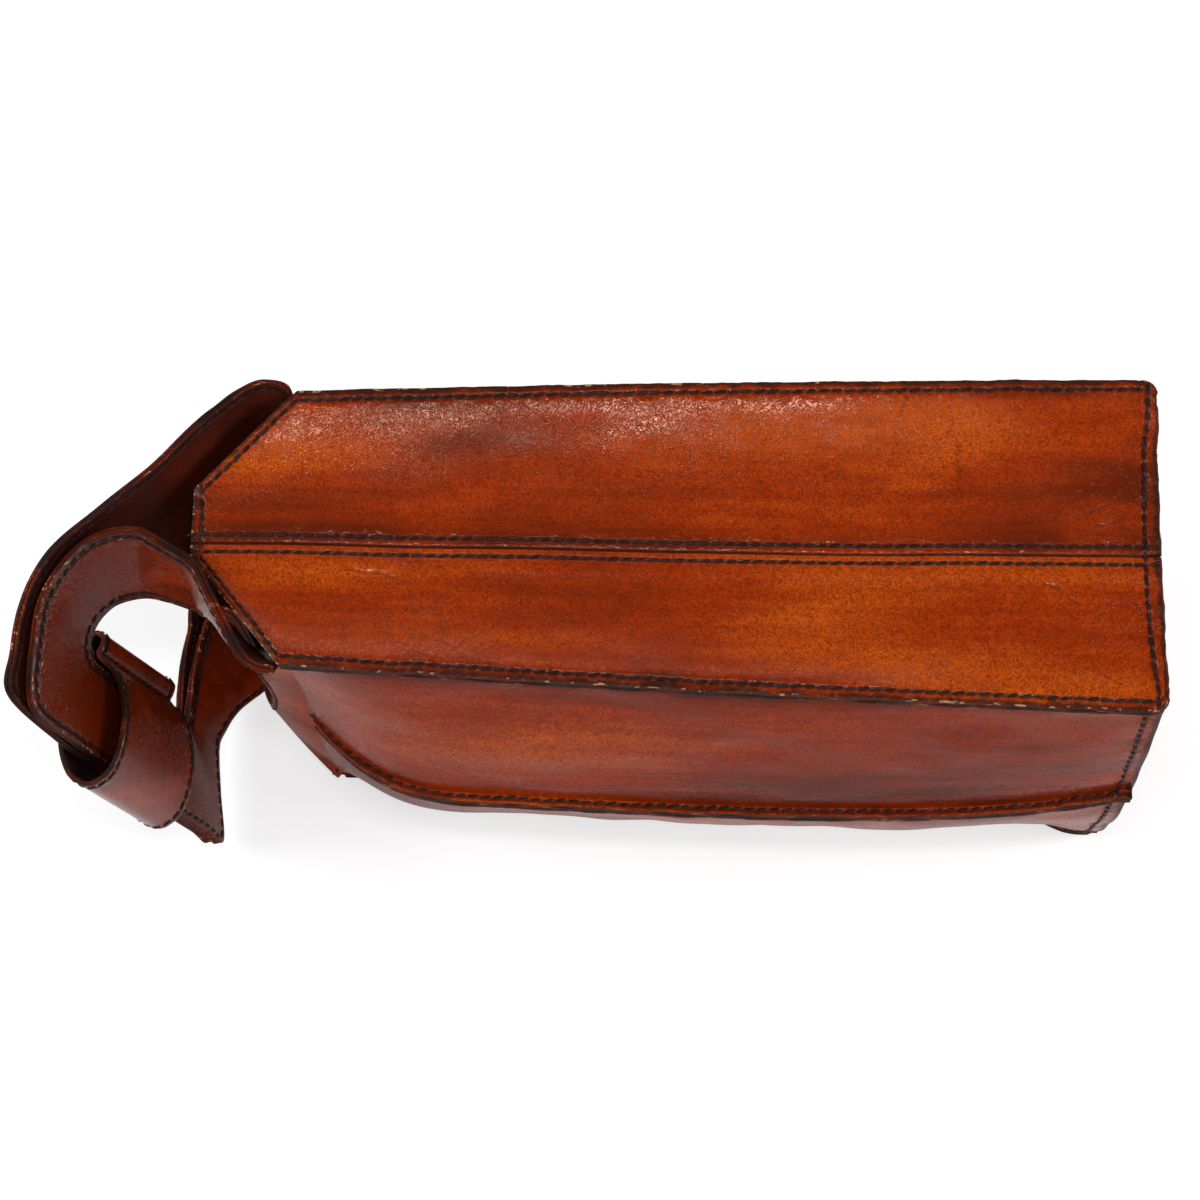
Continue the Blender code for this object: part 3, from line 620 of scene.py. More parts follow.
def base_grid():
    """The base leather: closed rows round its upstanding margin, its corner and its face."""
    ring = np.array(base_ring(PANEL_LEATHER / 2 + SEAM_GAP + BASE_LEATHER / 2))
    centre = ring.mean(0)
    rows = [[(x, y, z) for y, z in ring] for x in (BASE_RIM - 0.4, 3.6, 2.4, 1.2)]
    for scale, x in ((0.9985, 0.3), (0.994, -0.35), (0.985, -0.75)):
        rows.append([(x, *(centre + (p - centre) * scale)) for p in ring])
    for scale in (0.965, 0.94, 0.90, 0.85, 0.78, 0.70, 0.61, 0.51, 0.40, 0.29, 0.18, 0.08):
        row = []
        for p in ring:
            y, z = centre + (p - centre) * scale
            pillow = 0.9 * (1 - scale**4) * (0.6 + 0.5 * wander(y / 30.0, z / 30.0, 5.0))
            row.append((-0.9 + pillow, y, z))
        rows.append(row)
    rows.append([(rows[-1][0][0], *centre)] * len(ring))
    return np.array(rows)


def divider_grid(stations, low_at, high_at, margins, middle):
    grid = []
    for s in stations:
        low, high = low_at(s), high_at(s)
        row = []
        for d in spread(high - low, margins, margins, middle):
            y = low + d
            held = ease((d - 5) / 18) * ease((high - low - d - 5) / 18) * ease((s - 8) / 30)
            row.append((-s, y, 1.6 * held * wander(s / 60.0, y / 38.0, 31.0)))
        grid.append(row)
    return np.array(grid)


def divider_grids():
    """The wall between the bottles, and its tabs in the ridge seams beside the base and at the mouth."""

    def near_end(s):
        return -(near_ridge(s) + RIDGE_MARGIN)

    def far_end(s):
        return far_ridge(s) + RIDGE_MARGIN

    def near_tab(s):
        return near_end(s) + RIDGE_MARGIN + 0.4

    def far_tab(s):
        return far_end(s) - RIDGE_MARGIN - 0.4

    behind = BASE_LEATHER + SEAM_GAP + BOARD_THICKNESS + SEAM_GAP
    end = BODY_LENGTH - DIVIDER_SET_BACK
    grids = [divider_grid(np.linspace(behind, end, 120), near_end, far_end, (0, 1.5, 3.0, 4.3), 36)]
    for start, near_stop, far_stop in (
        (-BASE_RIM, behind, behind),
        (end, mouth_at(-1, 0) - 1, mouth_at(1, 0) - 1),
    ):
        grids.append(divider_grid(np.linspace(start, near_stop, 12), near_end, near_tab, (0, 1.2), 2))
        grids.append(divider_grid(np.linspace(start, far_stop, 12), far_tab, far_end, (0, 1.2), 2))
    return grids


# Shapes of the handles


def smooth_ring(points, steps):
    """A closed Catmull-Rom curve through the points, with a number of steps between each two."""
    result = []
    for i in range(len(points)):
        a, b, c, d = (points[(i + k) % len(points)] for k in (-1, 0, 1, 2))
        slope, turn, twist = c - a, 2 * a - 5 * b + 4 * c - d, 3 * b - 3 * c + d - a
        for step in range(steps):
            t = step / steps
            result.append(0.5 * (2 * b + slope * t + turn * t * t + twist * t * t * t))
    return result


def handle_pairs(side):
    """A handle's table as (outer, hole) points, in order round the ring."""

    def place(level, measured):
        past, inward, down = measured
        y = side * (GUSSET_AT_MOUTH / 2 - inward)
        return Vector((-(BODY_LENGTH + past), y, level * (HALF_WIDTH - down)))

    return [(place(level, a), place(level, b)) for table, level in HANDLES[side] for a, b in table]


def panel_mouth(side, z):
    """The middle of the broad panel's leather at the mouth, at a height."""
    level = 1 if z >= 0 else -1
    share = clamp((FLANGE_MID - abs(z)) / (FLANGE_MID - RIDGE_MID))
    s = mouth_at(side, z)
    return Vector((-s, side * panel_distance(side, level, s, share), z))


def held_by_panel(z):
    """1 where a panel's mouth holds the handle's outer edge, fading out to 0 at the body's corners."""
    return ease((HALF_PANEL - abs(z)) / 9)


def handle_ring(side, look):
    """The middle of a handle's outer leather: closed rows round the ring, columns from outer edge to hole."""
    pairs = handle_pairs(side)
    outers = smooth_ring([p[0] for p in pairs], RING_STEPS)
    holes = smooth_ring([p[1] for p in pairs], RING_STEPS)
    free = sum(len(table) for table, level in HANDLES[side][:2])
    first_held = (free - 1) * RING_STEPS - RING_STEPS // 2
    waver = look.edge_waver / MM
    grid = []
    for i, (outer, hole) in enumerate(zip(outers, holes)):
        turn = 2 * math.pi * i / len(outers)
        around = 6 * math.cos(turn), 6 * math.sin(turn)
        hole_cut = waver * wander(*around, side * 8.0)
        if i >= first_held:
            outer_cut = 0.0
            moved = (panel_mouth(side, outer.z) + Vector((0.8, 0, 0)) - outer) * held_by_panel(outer.z)
        else:
            outer_cut = waver * wander(*around, side * 3.0)
            moved = Vector((0, 0, 0))
        span = (hole - outer).normalized()
        start, stop = outer + span * outer_cut, hole - span * hole_cut
        shares = [j / RING_COLUMNS for j in range(RING_COLUMNS + 1)]
        grid.append([start.lerp(stop, share) + moved * (1 - share) ** 1.6 for share in shares])
    return as_grid(grid)


def at_mouth(row):
    """Whether a ring's row starts at the panel's mouth."""
    return -row[0][0] < BODY_LENGTH + 4


def body_side_share(row):
    """1 where a ring's row starts on the panel's mouth, 0 where it starts on the free edge."""
    return held_by_panel(row[0][2]) if at_mouth(row) else 0.0


def unit(vectors):
    return vectors / np.maximum(np.linalg.norm(vectors, axis=2, keepdims=True), 1e-9)


def normals_of(grid, closed=False):
    """Unit normals of a grid: along a column crossed with along a row. A closed ring's are evened out."""
    down = np.roll(grid, -1, 0) - np.roll(grid, 1, 0) if closed else np.gradient(grid, axis=0)
    normals = unit(np.cross(down, np.gradient(grid, axis=1)))
    if closed:
        normals = unit(sum(np.roll(normals, k, 0) for k in range(-3, 4)))
    return normals


def lining_turn(ring, side):
    """Which way along the ring's normal its lining lies: the two linings face each other."""
    return 1.0 if normals_of(ring, True)[4 * RING_STEPS, RING_COLUMNS // 2][1] * side < 0 else -1.0


def sleeve_section():
    """The sleeve's outline across the hand bars: a channel round them, and the sewn roll beside it."""
    seam = -SLEEVE_SEAM_ROOM
    pinch = PANEL_LEATHER / 2 + SEAM_GAP
    roll_end = seam - SLEEVE_ROLL_WIDTH
    channel_end = seam + SLEEVE_CHANNEL_WIDTH
    roll, high = SLEEVE_ROLL_HEIGHT / 2, SLEEVE_CHANNEL_HEIGHT / 2
    half = [
        (roll_end, 0.0),
        (roll_end + 0.9, 0.65 * roll),
        (roll_end + 0.32 * SLEEVE_ROLL_WIDTH, roll),
        (roll_end + 0.68 * SLEEVE_ROLL_WIDTH, 0.8 * roll),
        (seam, pinch),
        (seam + 2.0, pinch + 1.0),
        (seam + 4.2, 0.40 * high),
        (seam + 7.0, 0.62 * high),
    ]
    for share, rise in ((0.30, 0.88), (0.50, 1.0), (0.72, 0.93), (0.90, 0.66), (0.98, 0.28), (1.0, 0.0)):
        half.append((between(seam, channel_end, share), rise * high))
    points = [Vector(p) for p in half] + [Vector((x, -y)) for x, y in reversed(half[1:-1])]
    return smooth_ring(points, SLEEVE_STEPS)


def sleeve_grid():
    """The grip sleeve's middle surface, with closed rows round it."""
    near, far = handle_pairs(-1), handle_pairs(1)
    top, bottom = len(NEAR_UPPER) - 2, len(NEAR_UPPER) + 1
    start = (near[top][1] + far[top][1]) / 2
    end = (near[bottom][1] + far[bottom][1]) / 2
    axis = (end - start).normalized()
    middle = (start + end) / 2
    outer = (near[top][0] + far[top][0] + near[bottom][0] + far[bottom][0]) / 4
    across = outer - middle
    across = (across - axis * across.dot(axis)).normalized()
    height = axis.cross(across).normalized()
    section = sleeve_section()
    rows = []
    for t in np.linspace(0, 1, SLEEVE_ROWS):
        centre = middle + axis * between(-SLEEVE_LENGTH / 2, SLEEVE_LENGTH / 2, t)
        flare = 1 + 0.035 * (abs(2 * t - 1) ** 4)
        row = []
        for m, p in enumerate(section):
            turn = 2 * math.pi * m / len(section)
            dent = 0.35 * wander(3 * t, 2.2 * math.cos(turn), 2.2 * math.sin(turn)) * (1 if p.x > 2 else 0.2)
            grow = 1 + (flare - 1) * (1 if p.x > 0 else 0)
            q = centre + across * p.x + height * (p.y * grow + dent * (1 if p.y > 0 else -1) * abs(p.y) / 11)
            row.append(tuple(q))
        rows.append(row)
    return np.array(rows)


# Meshes


def distances(grid):
    """Distances in from the first and last column and from the first row, along the surface."""
    across = np.linalg.norm(np.diff(grid, axis=1), axis=2)
    across = np.concatenate([np.zeros((len(grid), 1)), np.cumsum(across, axis=1)], axis=1)
    down = np.linalg.norm(np.diff(grid, axis=0), axis=2)
    down = np.concatenate([np.zeros((1, grid.shape[1])), np.cumsum(down, axis=0)], axis=0)
    return across, across[:, -1:] - across, down


def new_piece(name, points, edges, faces):
    """A new object at the origin, with its place in its mesh."""
    mesh = bpy.data.meshes.new(name)
    mesh.from_pydata(points, edges, faces)
    obj = bpy.data.objects.new(name, mesh)
    bpy.context.scene.collection.objects.link(obj)
    return obj, mesh


def keep(mesh, label, values, kind="FLOAT", key="value"):
    """Keeps values at the points of a mesh, for its finish or for the stitches to read."""
    kept = mesh.attributes.new(label, kind, "POINT")
    kept.data.foreach_set(key, np.asarray(values, np.float32).ravel())


def modify(obj, name, kind, **settings):
    modifier = obj.modifiers.new(name, kind)
    for key, value in settings.items():
        setattr(modifier, key, value)
    return modifier


def sheet_mesh(name, grid, thickness, kind, notes=None, closed_rows=False, closed_columns=False, flip=False):
    """A leather sheet with its grain side, its inside and its raw edges, from the grid of its middle.

    kind is the grain side's finish, and notes are numbers kept at each point, which it reads. closed_rows
    joins each row's ends, and closed_columns joins the last row to the first.
    """
    notes = {"from_rim": FAR_AWAY, "from_butt": FAR_AWAY, **(notes or {})}
    rows, columns = grid.shape[:2]
    index = np.arange(rows * columns).reshape(rows, columns)
    a = index if closed_columns else index[:-1]
    b = np.roll(index, -1, 0) if closed_columns else index[1:]
    if closed_rows:
        quads = np.stack([a, b, np.roll(b, -1, 1), np.roll(a, -1, 1)], -1).reshape(-1, 4)
    else:
        quads = np.stack([a[:, :-1], b[:, :-1], b[:, 1:], a[:, 1:]], -1).reshape(-1, 4)
    if flip:
        quads = quads[:, ::-1]
    points = grid.reshape(-1, 3) * MM
    obj, mesh = new_piece(name, points.tolist(), [], quads.tolist())
    keep(mesh, "leather_place", points, "FLOAT_VECTOR", "vector")
    for label, values in notes.items():
        keep(mesh, label, np.broadcast_to(values, (rows, columns)))
    for finish in (kind, "inside", "edge"):
        mesh.materials.append(finish_for(finish))
    wall = {"thickness": thickness, "offset": 0.0, "use_even_offset": False, "use_rim": True}
    modify(obj, "Leather thickness", "SOLIDIFY", **wall, material_offset=1, material_offset_rim=2)
    edge = {"limit_method": "ANGLE", "angle_limit": EDGE_ANGLE, "use_clamp_overlap": True}
    modify(obj, "Rubbed edges", "BEVEL", width=EDGE_ROUNDING * MM, segments=2, **edge)
    return plain(obj)


def plain(obj):
    """Applies an object's modifiers, so that its mesh is what is seen."""
    bpy.context.view_layer.update()
    graph = bpy.context.evaluated_depsgraph_get()
    seen = obj.evaluated_get(graph)
    mesh = bpy.data.meshes.new_from_object(seen, preserve_all_data_layers=True, depsgraph=graph)
    mesh.name = obj.name
    obj.modifiers.clear()
    obj.data = mesh
    mesh.shade_smooth()
    mesh.set_sharp_from_angle(angle=SHARP_ANGLE)
    return obj


def seam_line(grid, normals, distance, lift):
    """Points a distance in from the first column of a grid, lifted off it, with the way up at each."""
    points = []
    for row, ups in zip(grid, normals):
        steps = np.linalg.norm(np.diff(row, axis=0), axis=1)
        gone = np.concatenate([[0.0], np.cumsum(steps)])
        if gone[-1] < distance * 1.6:
            continue
        j = min(len(row) - 2, int(np.searchsorted(gone, distance, side="right")) - 1)
        share = (distance - gone[j]) / max(1e-9, steps[j])
        p = row[j] * (1 - share) + row[j + 1] * share
        up = ups[j] * (1 - share) + ups[j + 1] * share
        up = up / max(1e-9, np.linalg.norm(up))
        points.append((p + up * lift, up))
    return points


# Finishes


class Field:
    """A shader's value that takes plain arithmetic, with one maths node for each step."""

    def __init__(self, tree, socket):
        self.tree, self.socket = tree, socket

    def step(self, operation, a, b=0.5, clamped=False):
        return field(self.tree, "ShaderNodeMath", {0: a, 1: b}, operation=operation, use_clamp=clamped)

    def __add__(self, other):
        return self.step("ADD", self, other)

    def __sub__(self, other):
        return self.step("SUBTRACT", self, other)

    def __rsub__(self, other):
        return self.step("SUBTRACT", other, self)

    def __mul__(self, other):
        return self.step("MULTIPLY", self, other)

    def __abs__(self):
        return self.step("ABSOLUTE", self)

    def most(self, other):
        return self.step("MAXIMUM", self, other)


def fill(tree, made, inputs):
    """Sets or links a node's inputs. A colour may leave out its alpha."""
    for key, value in inputs.items():
        value = getattr(value, "socket", value)
        socket = made.inputs[key]
        if isinstance(value, bpy.types.NodeSocket):
            tree.links.new(value, socket)
        elif socket.type == "RGBA" and len(value) == 3:
            socket.default_value = (*value, 1.0)
        else:
            socket.default_value = value
    return made


def node(tree, kind, inputs=None, **settings):
    made = tree.nodes.new(kind)
    for key, value in settings.items():
        setattr(made, key, value)
    return fill(tree, made, inputs or {})


def field(tree, kind, inputs=None, output=0, **settings):
    return Field(tree, node(tree, kind, inputs, **settings).outputs[output])


def mixed(tree, factor, a, b):
    return field(tree, "ShaderNodeMix", {0: factor, 6: a, 7: b}, 2, data_type="RGBA")


def ranged(value, start, stop, low, high, **settings):
    """A value between start and stop, moved to between low and high."""
    return field(value.tree, "ShaderNodeMapRange", {0: value, 1: start, 2: stop, 3: low, 4: high}, **settings)


def falling(value, start, stop):
    """1 below start, 0 above stop, and smooth between them."""
    return ranged(value, start, stop, 1.0, 0.0, interpolation_type="SMOOTHSTEP")


def cloud(place, scale, detail=2.0, roughness=0.5, distortion=0.0, output=0):
    names = ("Vector", "Scale", "Detail", "Roughness", "Distortion")
    inputs = dict(zip(names, (place, scale, detail, roughness, distortion)))
    return field(place.tree, "ShaderNodeTexNoise", inputs, output)


def drawn_out(place, share):
    """A place for patterns that run along the body, wider than they are high."""
    return field(place.tree, "ShaderNodeMapping", {"Vector": place, "Scale": (share, 1.0, 1.0)})


def vectors(operation, a, b, output=0):
    return field(a.tree, "ShaderNodeVectorMath", {0: a, 1: b}, output, operation=operation)


def note(tree, name, output="Fac"):
    return field(tree, "ShaderNodeAttribute", output=output, attribute_name=name)


def object_place(tree):
    return field(tree, "ShaderNodeTexCoord", output="Object")


def new_finish(name):
    material = bpy.data.materials.new(name)
    material.use_nodes = True
    tree = material.node_tree
    return material, tree, tree.nodes["Principled BSDF"]


def complete(tree, shader, colour, relief, depth, others, strength=1.0):
    """Gives a shader its colour, the bump of a relief that is some millimetres deep, and its other inputs."""
    raised = node(tree, "ShaderNodeBump", {"Height": relief, "Distance": depth * MM, "Strength": strength})
    fill(tree, shader, {"Base Color": colour, "Normal": raised.outputs[0], **others})


def scaled(colour, share, lift=0.0):
    return tuple(c * share + lift for c in colour)


def leather_finish(
    name, inset, tone_shift, shine, specular, coat=0.0, tint=(1.0, 1.0, 1.0), lining_share=0.0, folded=False
):
    """Brush-dyed waxed leather: uneven dye, wavy grain, creases, pulled seams and rubbed dark edges, with
    painted shade and light.
    """
    look, stitching = bpy.context.scene.carrier_leather, bpy.context.scene.carrier_stitching
    material, tree, shader = new_finish(name)
    place = note(tree, "leather_place", "Vector")
    edge, rim, butt = (note(tree, label) for label in ("from_edge", "from_rim", "from_butt"))
    body_share = note(tree, "body_share")

    broad = cloud(drawn_out(place, 0.28), 26.0, 2.5, 0.5, 0.3)
    streak = cloud(drawn_out(place, 0.10), 210.0, 4.0, 0.6)
    mottle = cloud(place, 130.0, 5.0, 0.62, 0.5)
    # The tone notes add painted shade and light on the gussets and the lower near panel to the dye's own
    # unevenness
    tone = broad * 0.74 + streak * 0.26 + mottle * 0.10 + note(tree, "tone") + (tone_shift - 0.05)
    ramp = node(tree, "ShaderNodeValToRGB", {0: tone})
    stops = ramp.color_ramp.elements
    stops[0].position, stops[0].color = 0.34, (*look.dark_dye, 1)
    stops[1].position, stops[1].color = 0.66, (*look.light_dye, 1)
    stops.new(0.50).color = (*look.middle_dye, 1)

    size = 1.0 / look.grain_size
    waves = cloud(place, 0.80 * size, 1.6, 0.55, 1.5)
    grain = waves.step("MULTIPLY", abs(waves - 0.5), 10.0, clamped=True)
    fine = cloud(place, 3.2 * size, 3.0, 0.6)
    crease = falling(abs(cloud(place, 42.0, 4.0, 0.62, 1.4) - 0.5), 0.0, 0.022)
    crease = crease * falling(cloud(place, 19.0), 0.36, 0.46)
    fold = fold_marks(place) if folded else 0.0

    def along_rows(width):
        rows = ((edge, inset), (rim, stitching.rim_inset), (butt, stitching.butt_inset))
        marks = [falling(abs(distance - row / MM), 0.0, width) for distance, row in rows]
        return marks[0].most(marks[1]).most(marks[2])

    # Along the stitch rows and the butt line the leather is darker: partly the pressed leather's own
    # darkening, partly painted shade in the grooves
    joint = falling(abs(butt - 0.15), 0.0, 0.75) * note(tree, "has_butt")
    pulled = along_rows(1.3).most(joint)
    puckers = (cloud(place, 300.0, 1.0) - 0.5) * along_rows(3.6)
    ragged = (mottle - 0.5) * 5.0
    rub = falling(edge + ragged, 0.7, 2.5).most(falling(rim + ragged, 1.0, 2.6))
    fleck = falling(edge, 0.3, 1.1) * falling(cloud(drawn_out(place, 0.45), 620.0), 0.36, 0.40)

    colour = ramp.outputs[0]
    for share, dye in (
        ((1.0 - grain) * 0.75, look.dark_dye),
        (crease * 0.25, look.dark_dye),
        (fold * 0.35, look.dark_dye),
        (pulled * 0.80, look.burnish),
        (rub * 0.85, look.burnish),
        (fleck * 0.75, look.worn),
        (lining_share, look.lining_dye),
    ):
        colour = mixed(tree, share, colour, dye)
    height = grain * (look.grain_depth / MM) + fine * 0.008 - crease * 0.06 + mottle * 0.05 - pulled * 0.45
    height = height + puckers * 1.1 - fold * 0.22
    rough = mottle * 0.16 + (look.roughness - 0.08 - shine) + rub.most(pulled) * 0.16 + (0.5 - broad) * 0.25
    others = {
        "Roughness": rough,
        "Specular Tint": tint,
        "Specular IOR Level": ranged(body_share, 0.0, 1.0, specular, min(0.03, specular)),
        "Coat Weight": ranged(body_share, 0.0, 1.0, coat, 0.0),
        "Coat Roughness": 0.16,
    }
    complete(tree, shader, colour, height, 1.0, others)
    return material


def fold_marks(place):
    """The old folds in the upper gusset: 1 along their lines, fading out beside them and at their ends."""
    flat = vectors("MULTIPLY", place, (1.0, 1.0, 0.0))
    stray = vectors("SUBTRACT", cloud(place, 90.0, 3.0, output="Color"), (0.5, 0.5, 0.0))
    flat = vectors("ADD", flat, vectors("MULTIPLY", stray, (FOLD_STRAY * MM, FOLD_STRAY * MM, 0.0)))
    total = None
    for start, stop, width in FOLDS:
        first = Vector((*start, 0.0)) * MM
        along = Vector((*stop, 0.0)) * MM - first
        across = Vector((-along.y, along.x, 0.0)).normalized()
        away = vectors("SUBTRACT", flat, tuple(first))
        ahead = vectors("DOT_PRODUCT", away, tuple(along / along.length_squared), "Value")
        off = vectors("DOT_PRODUCT", away, tuple(across), "Value")
        mark = falling(abs(off), 0.0, width * MM) * falling(abs(ahead - 0.5), 0.1, 0.5)
        total = total.most(mark) if total else mark
    upper = field(place.tree, "ShaderNodeSeparateXYZ", {0: place}, "Z")
    return total * upper.step("GREATER_THAN", upper, 0.0)


def raw_edge_finish(look):
    """The cut edge: burnished nearly black, with pale fibres where it has worn, in layers along the edge."""
    material, tree, shader = new_finish("raw leather edge")
    place = object_place(tree)
    layers = cloud(drawn_out(place, 0.22), 800.0, 3.0, 0.6)
    patches = cloud(place, 60.0, 3.0, 0.6)
    colour = mixed(tree, falling(patches, 0.40, 0.62), look.burnish, scaled(look.middle_dye, 0.3))
    bare = falling(layers, 0.34, 0.42) * falling(patches, 0.38, 0.52)
    colour = mixed(tree, bare * 0.85, colour, look.worn)
    complete(tree, shader, colour, layers, 0.4, {"Roughness": 0.6, "Specular IOR Level": 0.08})
    return material


def inside_finish(look):
    """The flesh side: dark, matt and fibrous."""
    material, tree, shader = new_finish("leather flesh side")
    place = note(tree, "leather_place", "Vector")
    nap = cloud(place, 900.0, 4.0, 0.7)
    tone = nap * 0.5 + cloud(place, 70.0, 3.0, 0.6) * 0.5
    light, dark = scaled(look.lining_dye, 1.1), scaled(look.lining_dye, 0.4)
    colour = mixed(tree, falling(tone, 0.38, 0.62), light, dark)
    complete(tree, shader, colour, nap, 0.15, {"Roughness": 0.8, "Specular IOR Level": 0.15})
    return material


def thread_finish(stitching):
    """Waxed twisted thread."""
    material, tree, shader = new_finish("waxed thread")
    place = object_place(tree)
    inputs = {"Vector": place, "Scale": 900.0, "Distortion": 1.5}
    twist = field(tree, "ShaderNodeTexWave", inputs, "Fac", bands_direction="DIAGONAL")
    # Lighter patches along the thread are a painted sheen, standing in for the glints on the waxed thread
    painted_sheen = falling(cloud(place, 160.0, 3.0, 0.6), 0.42, 0.60)
    colour = mixed(tree, painted_sheen * 0.75, scaled(stitching.thread_colour, 2.0, 0.008), stitching.thread_colour)
    complete(tree, shader, colour, twist, 0.12, {"Roughness": 0.35, "Specular IOR Level": 0.12}, 0.8)
    return material


def board_finish():
    """Grey-brown pressed board."""
    material, tree, shader = new_finish("pressed board")
    place = object_place(tree)
    fibres = cloud(place, 700.0, 4.0, 0.7)
    tone = fibres * 0.5 + cloud(place, 60.0) * 0.5
    colour = mixed(tree, falling(tone, 0.38, 0.62), (0.16, 0.10, 0.06), (0.08, 0.05, 0.03))
    complete(tree, shader, colour, fibres, 0.1, {"Roughness": 0.85}, 0.7)
    return material


@functools.cache
def finish_for(kind):
    """Each finish is made once and then shared."""
    look, stitching = bpy.context.scene.carrier_leather, bpy.context.scene.carrier_stitching
    body, handle = stitching.row_inset, stitching.handle_inset
    if kind == "gusset":
        name = "cognac leather, gussets"
        return leather_finish(name, body, -0.01, 0.06, 0.23, tint=GUSSET_TINT, folded=True)
    if kind == "panel":
        return leather_finish("cognac leather, panels", body, -0.035, 0.07, 0.10)
    if kind == "handle":
        return leather_finish("cognac leather, handled", handle, -0.17, 0.05, 0.36, 0.05)
    if kind == "lining":
        return leather_finish("handle lining leather", handle, -0.16, -0.10, 0.08, lining_share=0.85)
    if kind == "edge":
        return raw_edge_finish(look)
    if kind == "inside":
        return inside_finish(look)
    return thread_finish(stitching) if kind == "thread" else board_finish()


# Stitches


def stitch_tree():
    """Lays one stitch after another along rows of edges, each standing on the leather and turned a little."""
    tree = bpy.data.node_groups.new("Stitch rows", "GeometryNodeTree")
    labels = ("Rows", "Pitch", "Stitch length", "Thread", "Slant", "Seed", "Finish")
    for label, kind in zip(labels, ("Geometry", "Float", "Float", "Float", "Float", "Int", "Material")):
        tree.interface.new_socket(label, in_out="INPUT", socket_type="NodeSocket" + kind)
    tree.interface.new_socket("Stitches", in_out="OUTPUT", socket_type="NodeSocketGeometry")

    def add(kind, inputs=None, output=0, **settings):
        return node(tree, kind, inputs, **settings).outputs[output]

    def stray(low, high):
        inputs = {2: low, 3: high, "Seed": given["Seed"]}
        return add("FunctionNodeRandomValue", inputs, 1, data_type="FLOAT")

    given = node(tree, "NodeGroupInput").outputs
    curve = add("GeometryNodeMeshToCurve", {"Mesh": given["Rows"]})
    spacing = {"Curve": curve, "Length": given["Pitch"]}
    points = node(tree, "GeometryNodeCurveToPoints", spacing, mode="LENGTH")
    up = add("GeometryNodeInputNamedAttribute", {"Name": "way_up"}, "Attribute", data_type="FLOAT_VECTOR")
    axes = {"Primary Axis": up, "Secondary Axis": points.outputs["Tangent"]}
    standing = add("FunctionNodeAxesToRotation", axes, primary_axis="Z", secondary_axis="X")
    turned = add("ShaderNodeMath", {0: given["Slant"], 1: stray(-0.09, 0.09)}, operation="ADD")
    yaw = add("ShaderNodeCombineXYZ", {"Z": turned})
    turning = {"Rotation": standing, "Rotate By": yaw}
    rotation = add("FunctionNodeRotateRotation", turning, rotation_space="LOCAL")
    bead = add("GeometryNodeMeshUVSphere", {"Segments": 8, "Rings": 5, "Radius": 0.5}, "Mesh")
    sizes = {"X": given["Stitch length"], "Y": given["Thread"], "Z": given["Thread"]}
    size = add("ShaderNodeCombineXYZ", sizes)
    stitch = add("GeometryNodeTransform", {"Geometry": bead, "Scale": size})
    laying = {
        "Points": points.outputs["Points"],
        "Instance": stitch,
        "Rotation": rotation,
        "Scale": stray(0.9, 1.08),
    }
    laid = add("GeometryNodeInstanceOnPoints", laying)
    real = add("GeometryNodeRealizeInstances", {"Geometry": laid})
    smooth = add("GeometryNodeSetShadeSmooth", {"Geometry": real})
    coloured = add("GeometryNodeSetMaterial", {"Geometry": smooth, "Material": given["Finish"]})
    node(tree, "NodeGroupOutput", {0: coloured})
    return tree


ROWS = {"body": [], "handles": [], "sleeve": []}


def sew(part, grid, normals, distance, lift, closed=False):
    """Adds a row of stitches to a part, a distance in from the first column of a grid."""
    ROWS[part].append((seam_line(grid, normals, distance, lift), closed))


def stitched(name, lines, thread):
    """Turns rows, each a list of (point, way up) and whether it closes, into one mesh of stitches."""
    stitching = bpy.context.scene.carrier_stitching
    points, ups, edges = [], [], []
    for line, closed in lines:
        start = len(points)
        points += [tuple(p * MM) for p, up in line]
        ups += [tuple(up) for p, up in line]
        edges += [(start + k, start + k + 1) for k in range(len(line) - 1)]
        if closed:
            edges.append((len(points) - 1, start))
    obj, mesh = new_piece(name, points, edges, [])
    keep(mesh, "way_up", ups, "FLOAT_VECTOR", "vector")
    tree = bpy.data.node_groups.get("Stitch rows") or stitch_tree()
    modifier = modify(obj, "Stitch rows", "NODES", node_group=tree)
    wanted = {
        "Pitch": stitching.pitch,
        "Stitch length": stitching.stitch_length,
        "Thread": thread,
        "Slant": stitching.slant,
        "Seed": STITCH_SEED,
        "Finish": finish_for("thread"),
    }
    for socket in tree.interface.items_tree:
        if socket.in_out == "INPUT" and socket.name in wanted:
            modifier[socket.identifier] = wanted[socket.name]
    obj = plain(obj)
    if not obj.data.polygons:
        raise RuntimeError(f"{name} has no stitches")
    obj.data.set_sharp_from_angle(angle=math.radians(180))
    return obj


# Operators


def facing(grid, hint):
    """Normals of a grid, turned to the side that a direction at its middle points to."""
    normals = normals_of(grid)
    middle = normals[len(normals) // 2, normals.shape[1] // 2]
    return normals if float(np.dot(middle, hint)) > 0 else -normals


def inside_out(grid, normals):
    """Whether the faces of a grid, wound down and then across, look away from the normals."""
    return float(np.sum(normals_of(grid) * normals)) < 0


class Step:
    """What the operators share."""

    bl_options = {"REGISTER", "UNDO"}


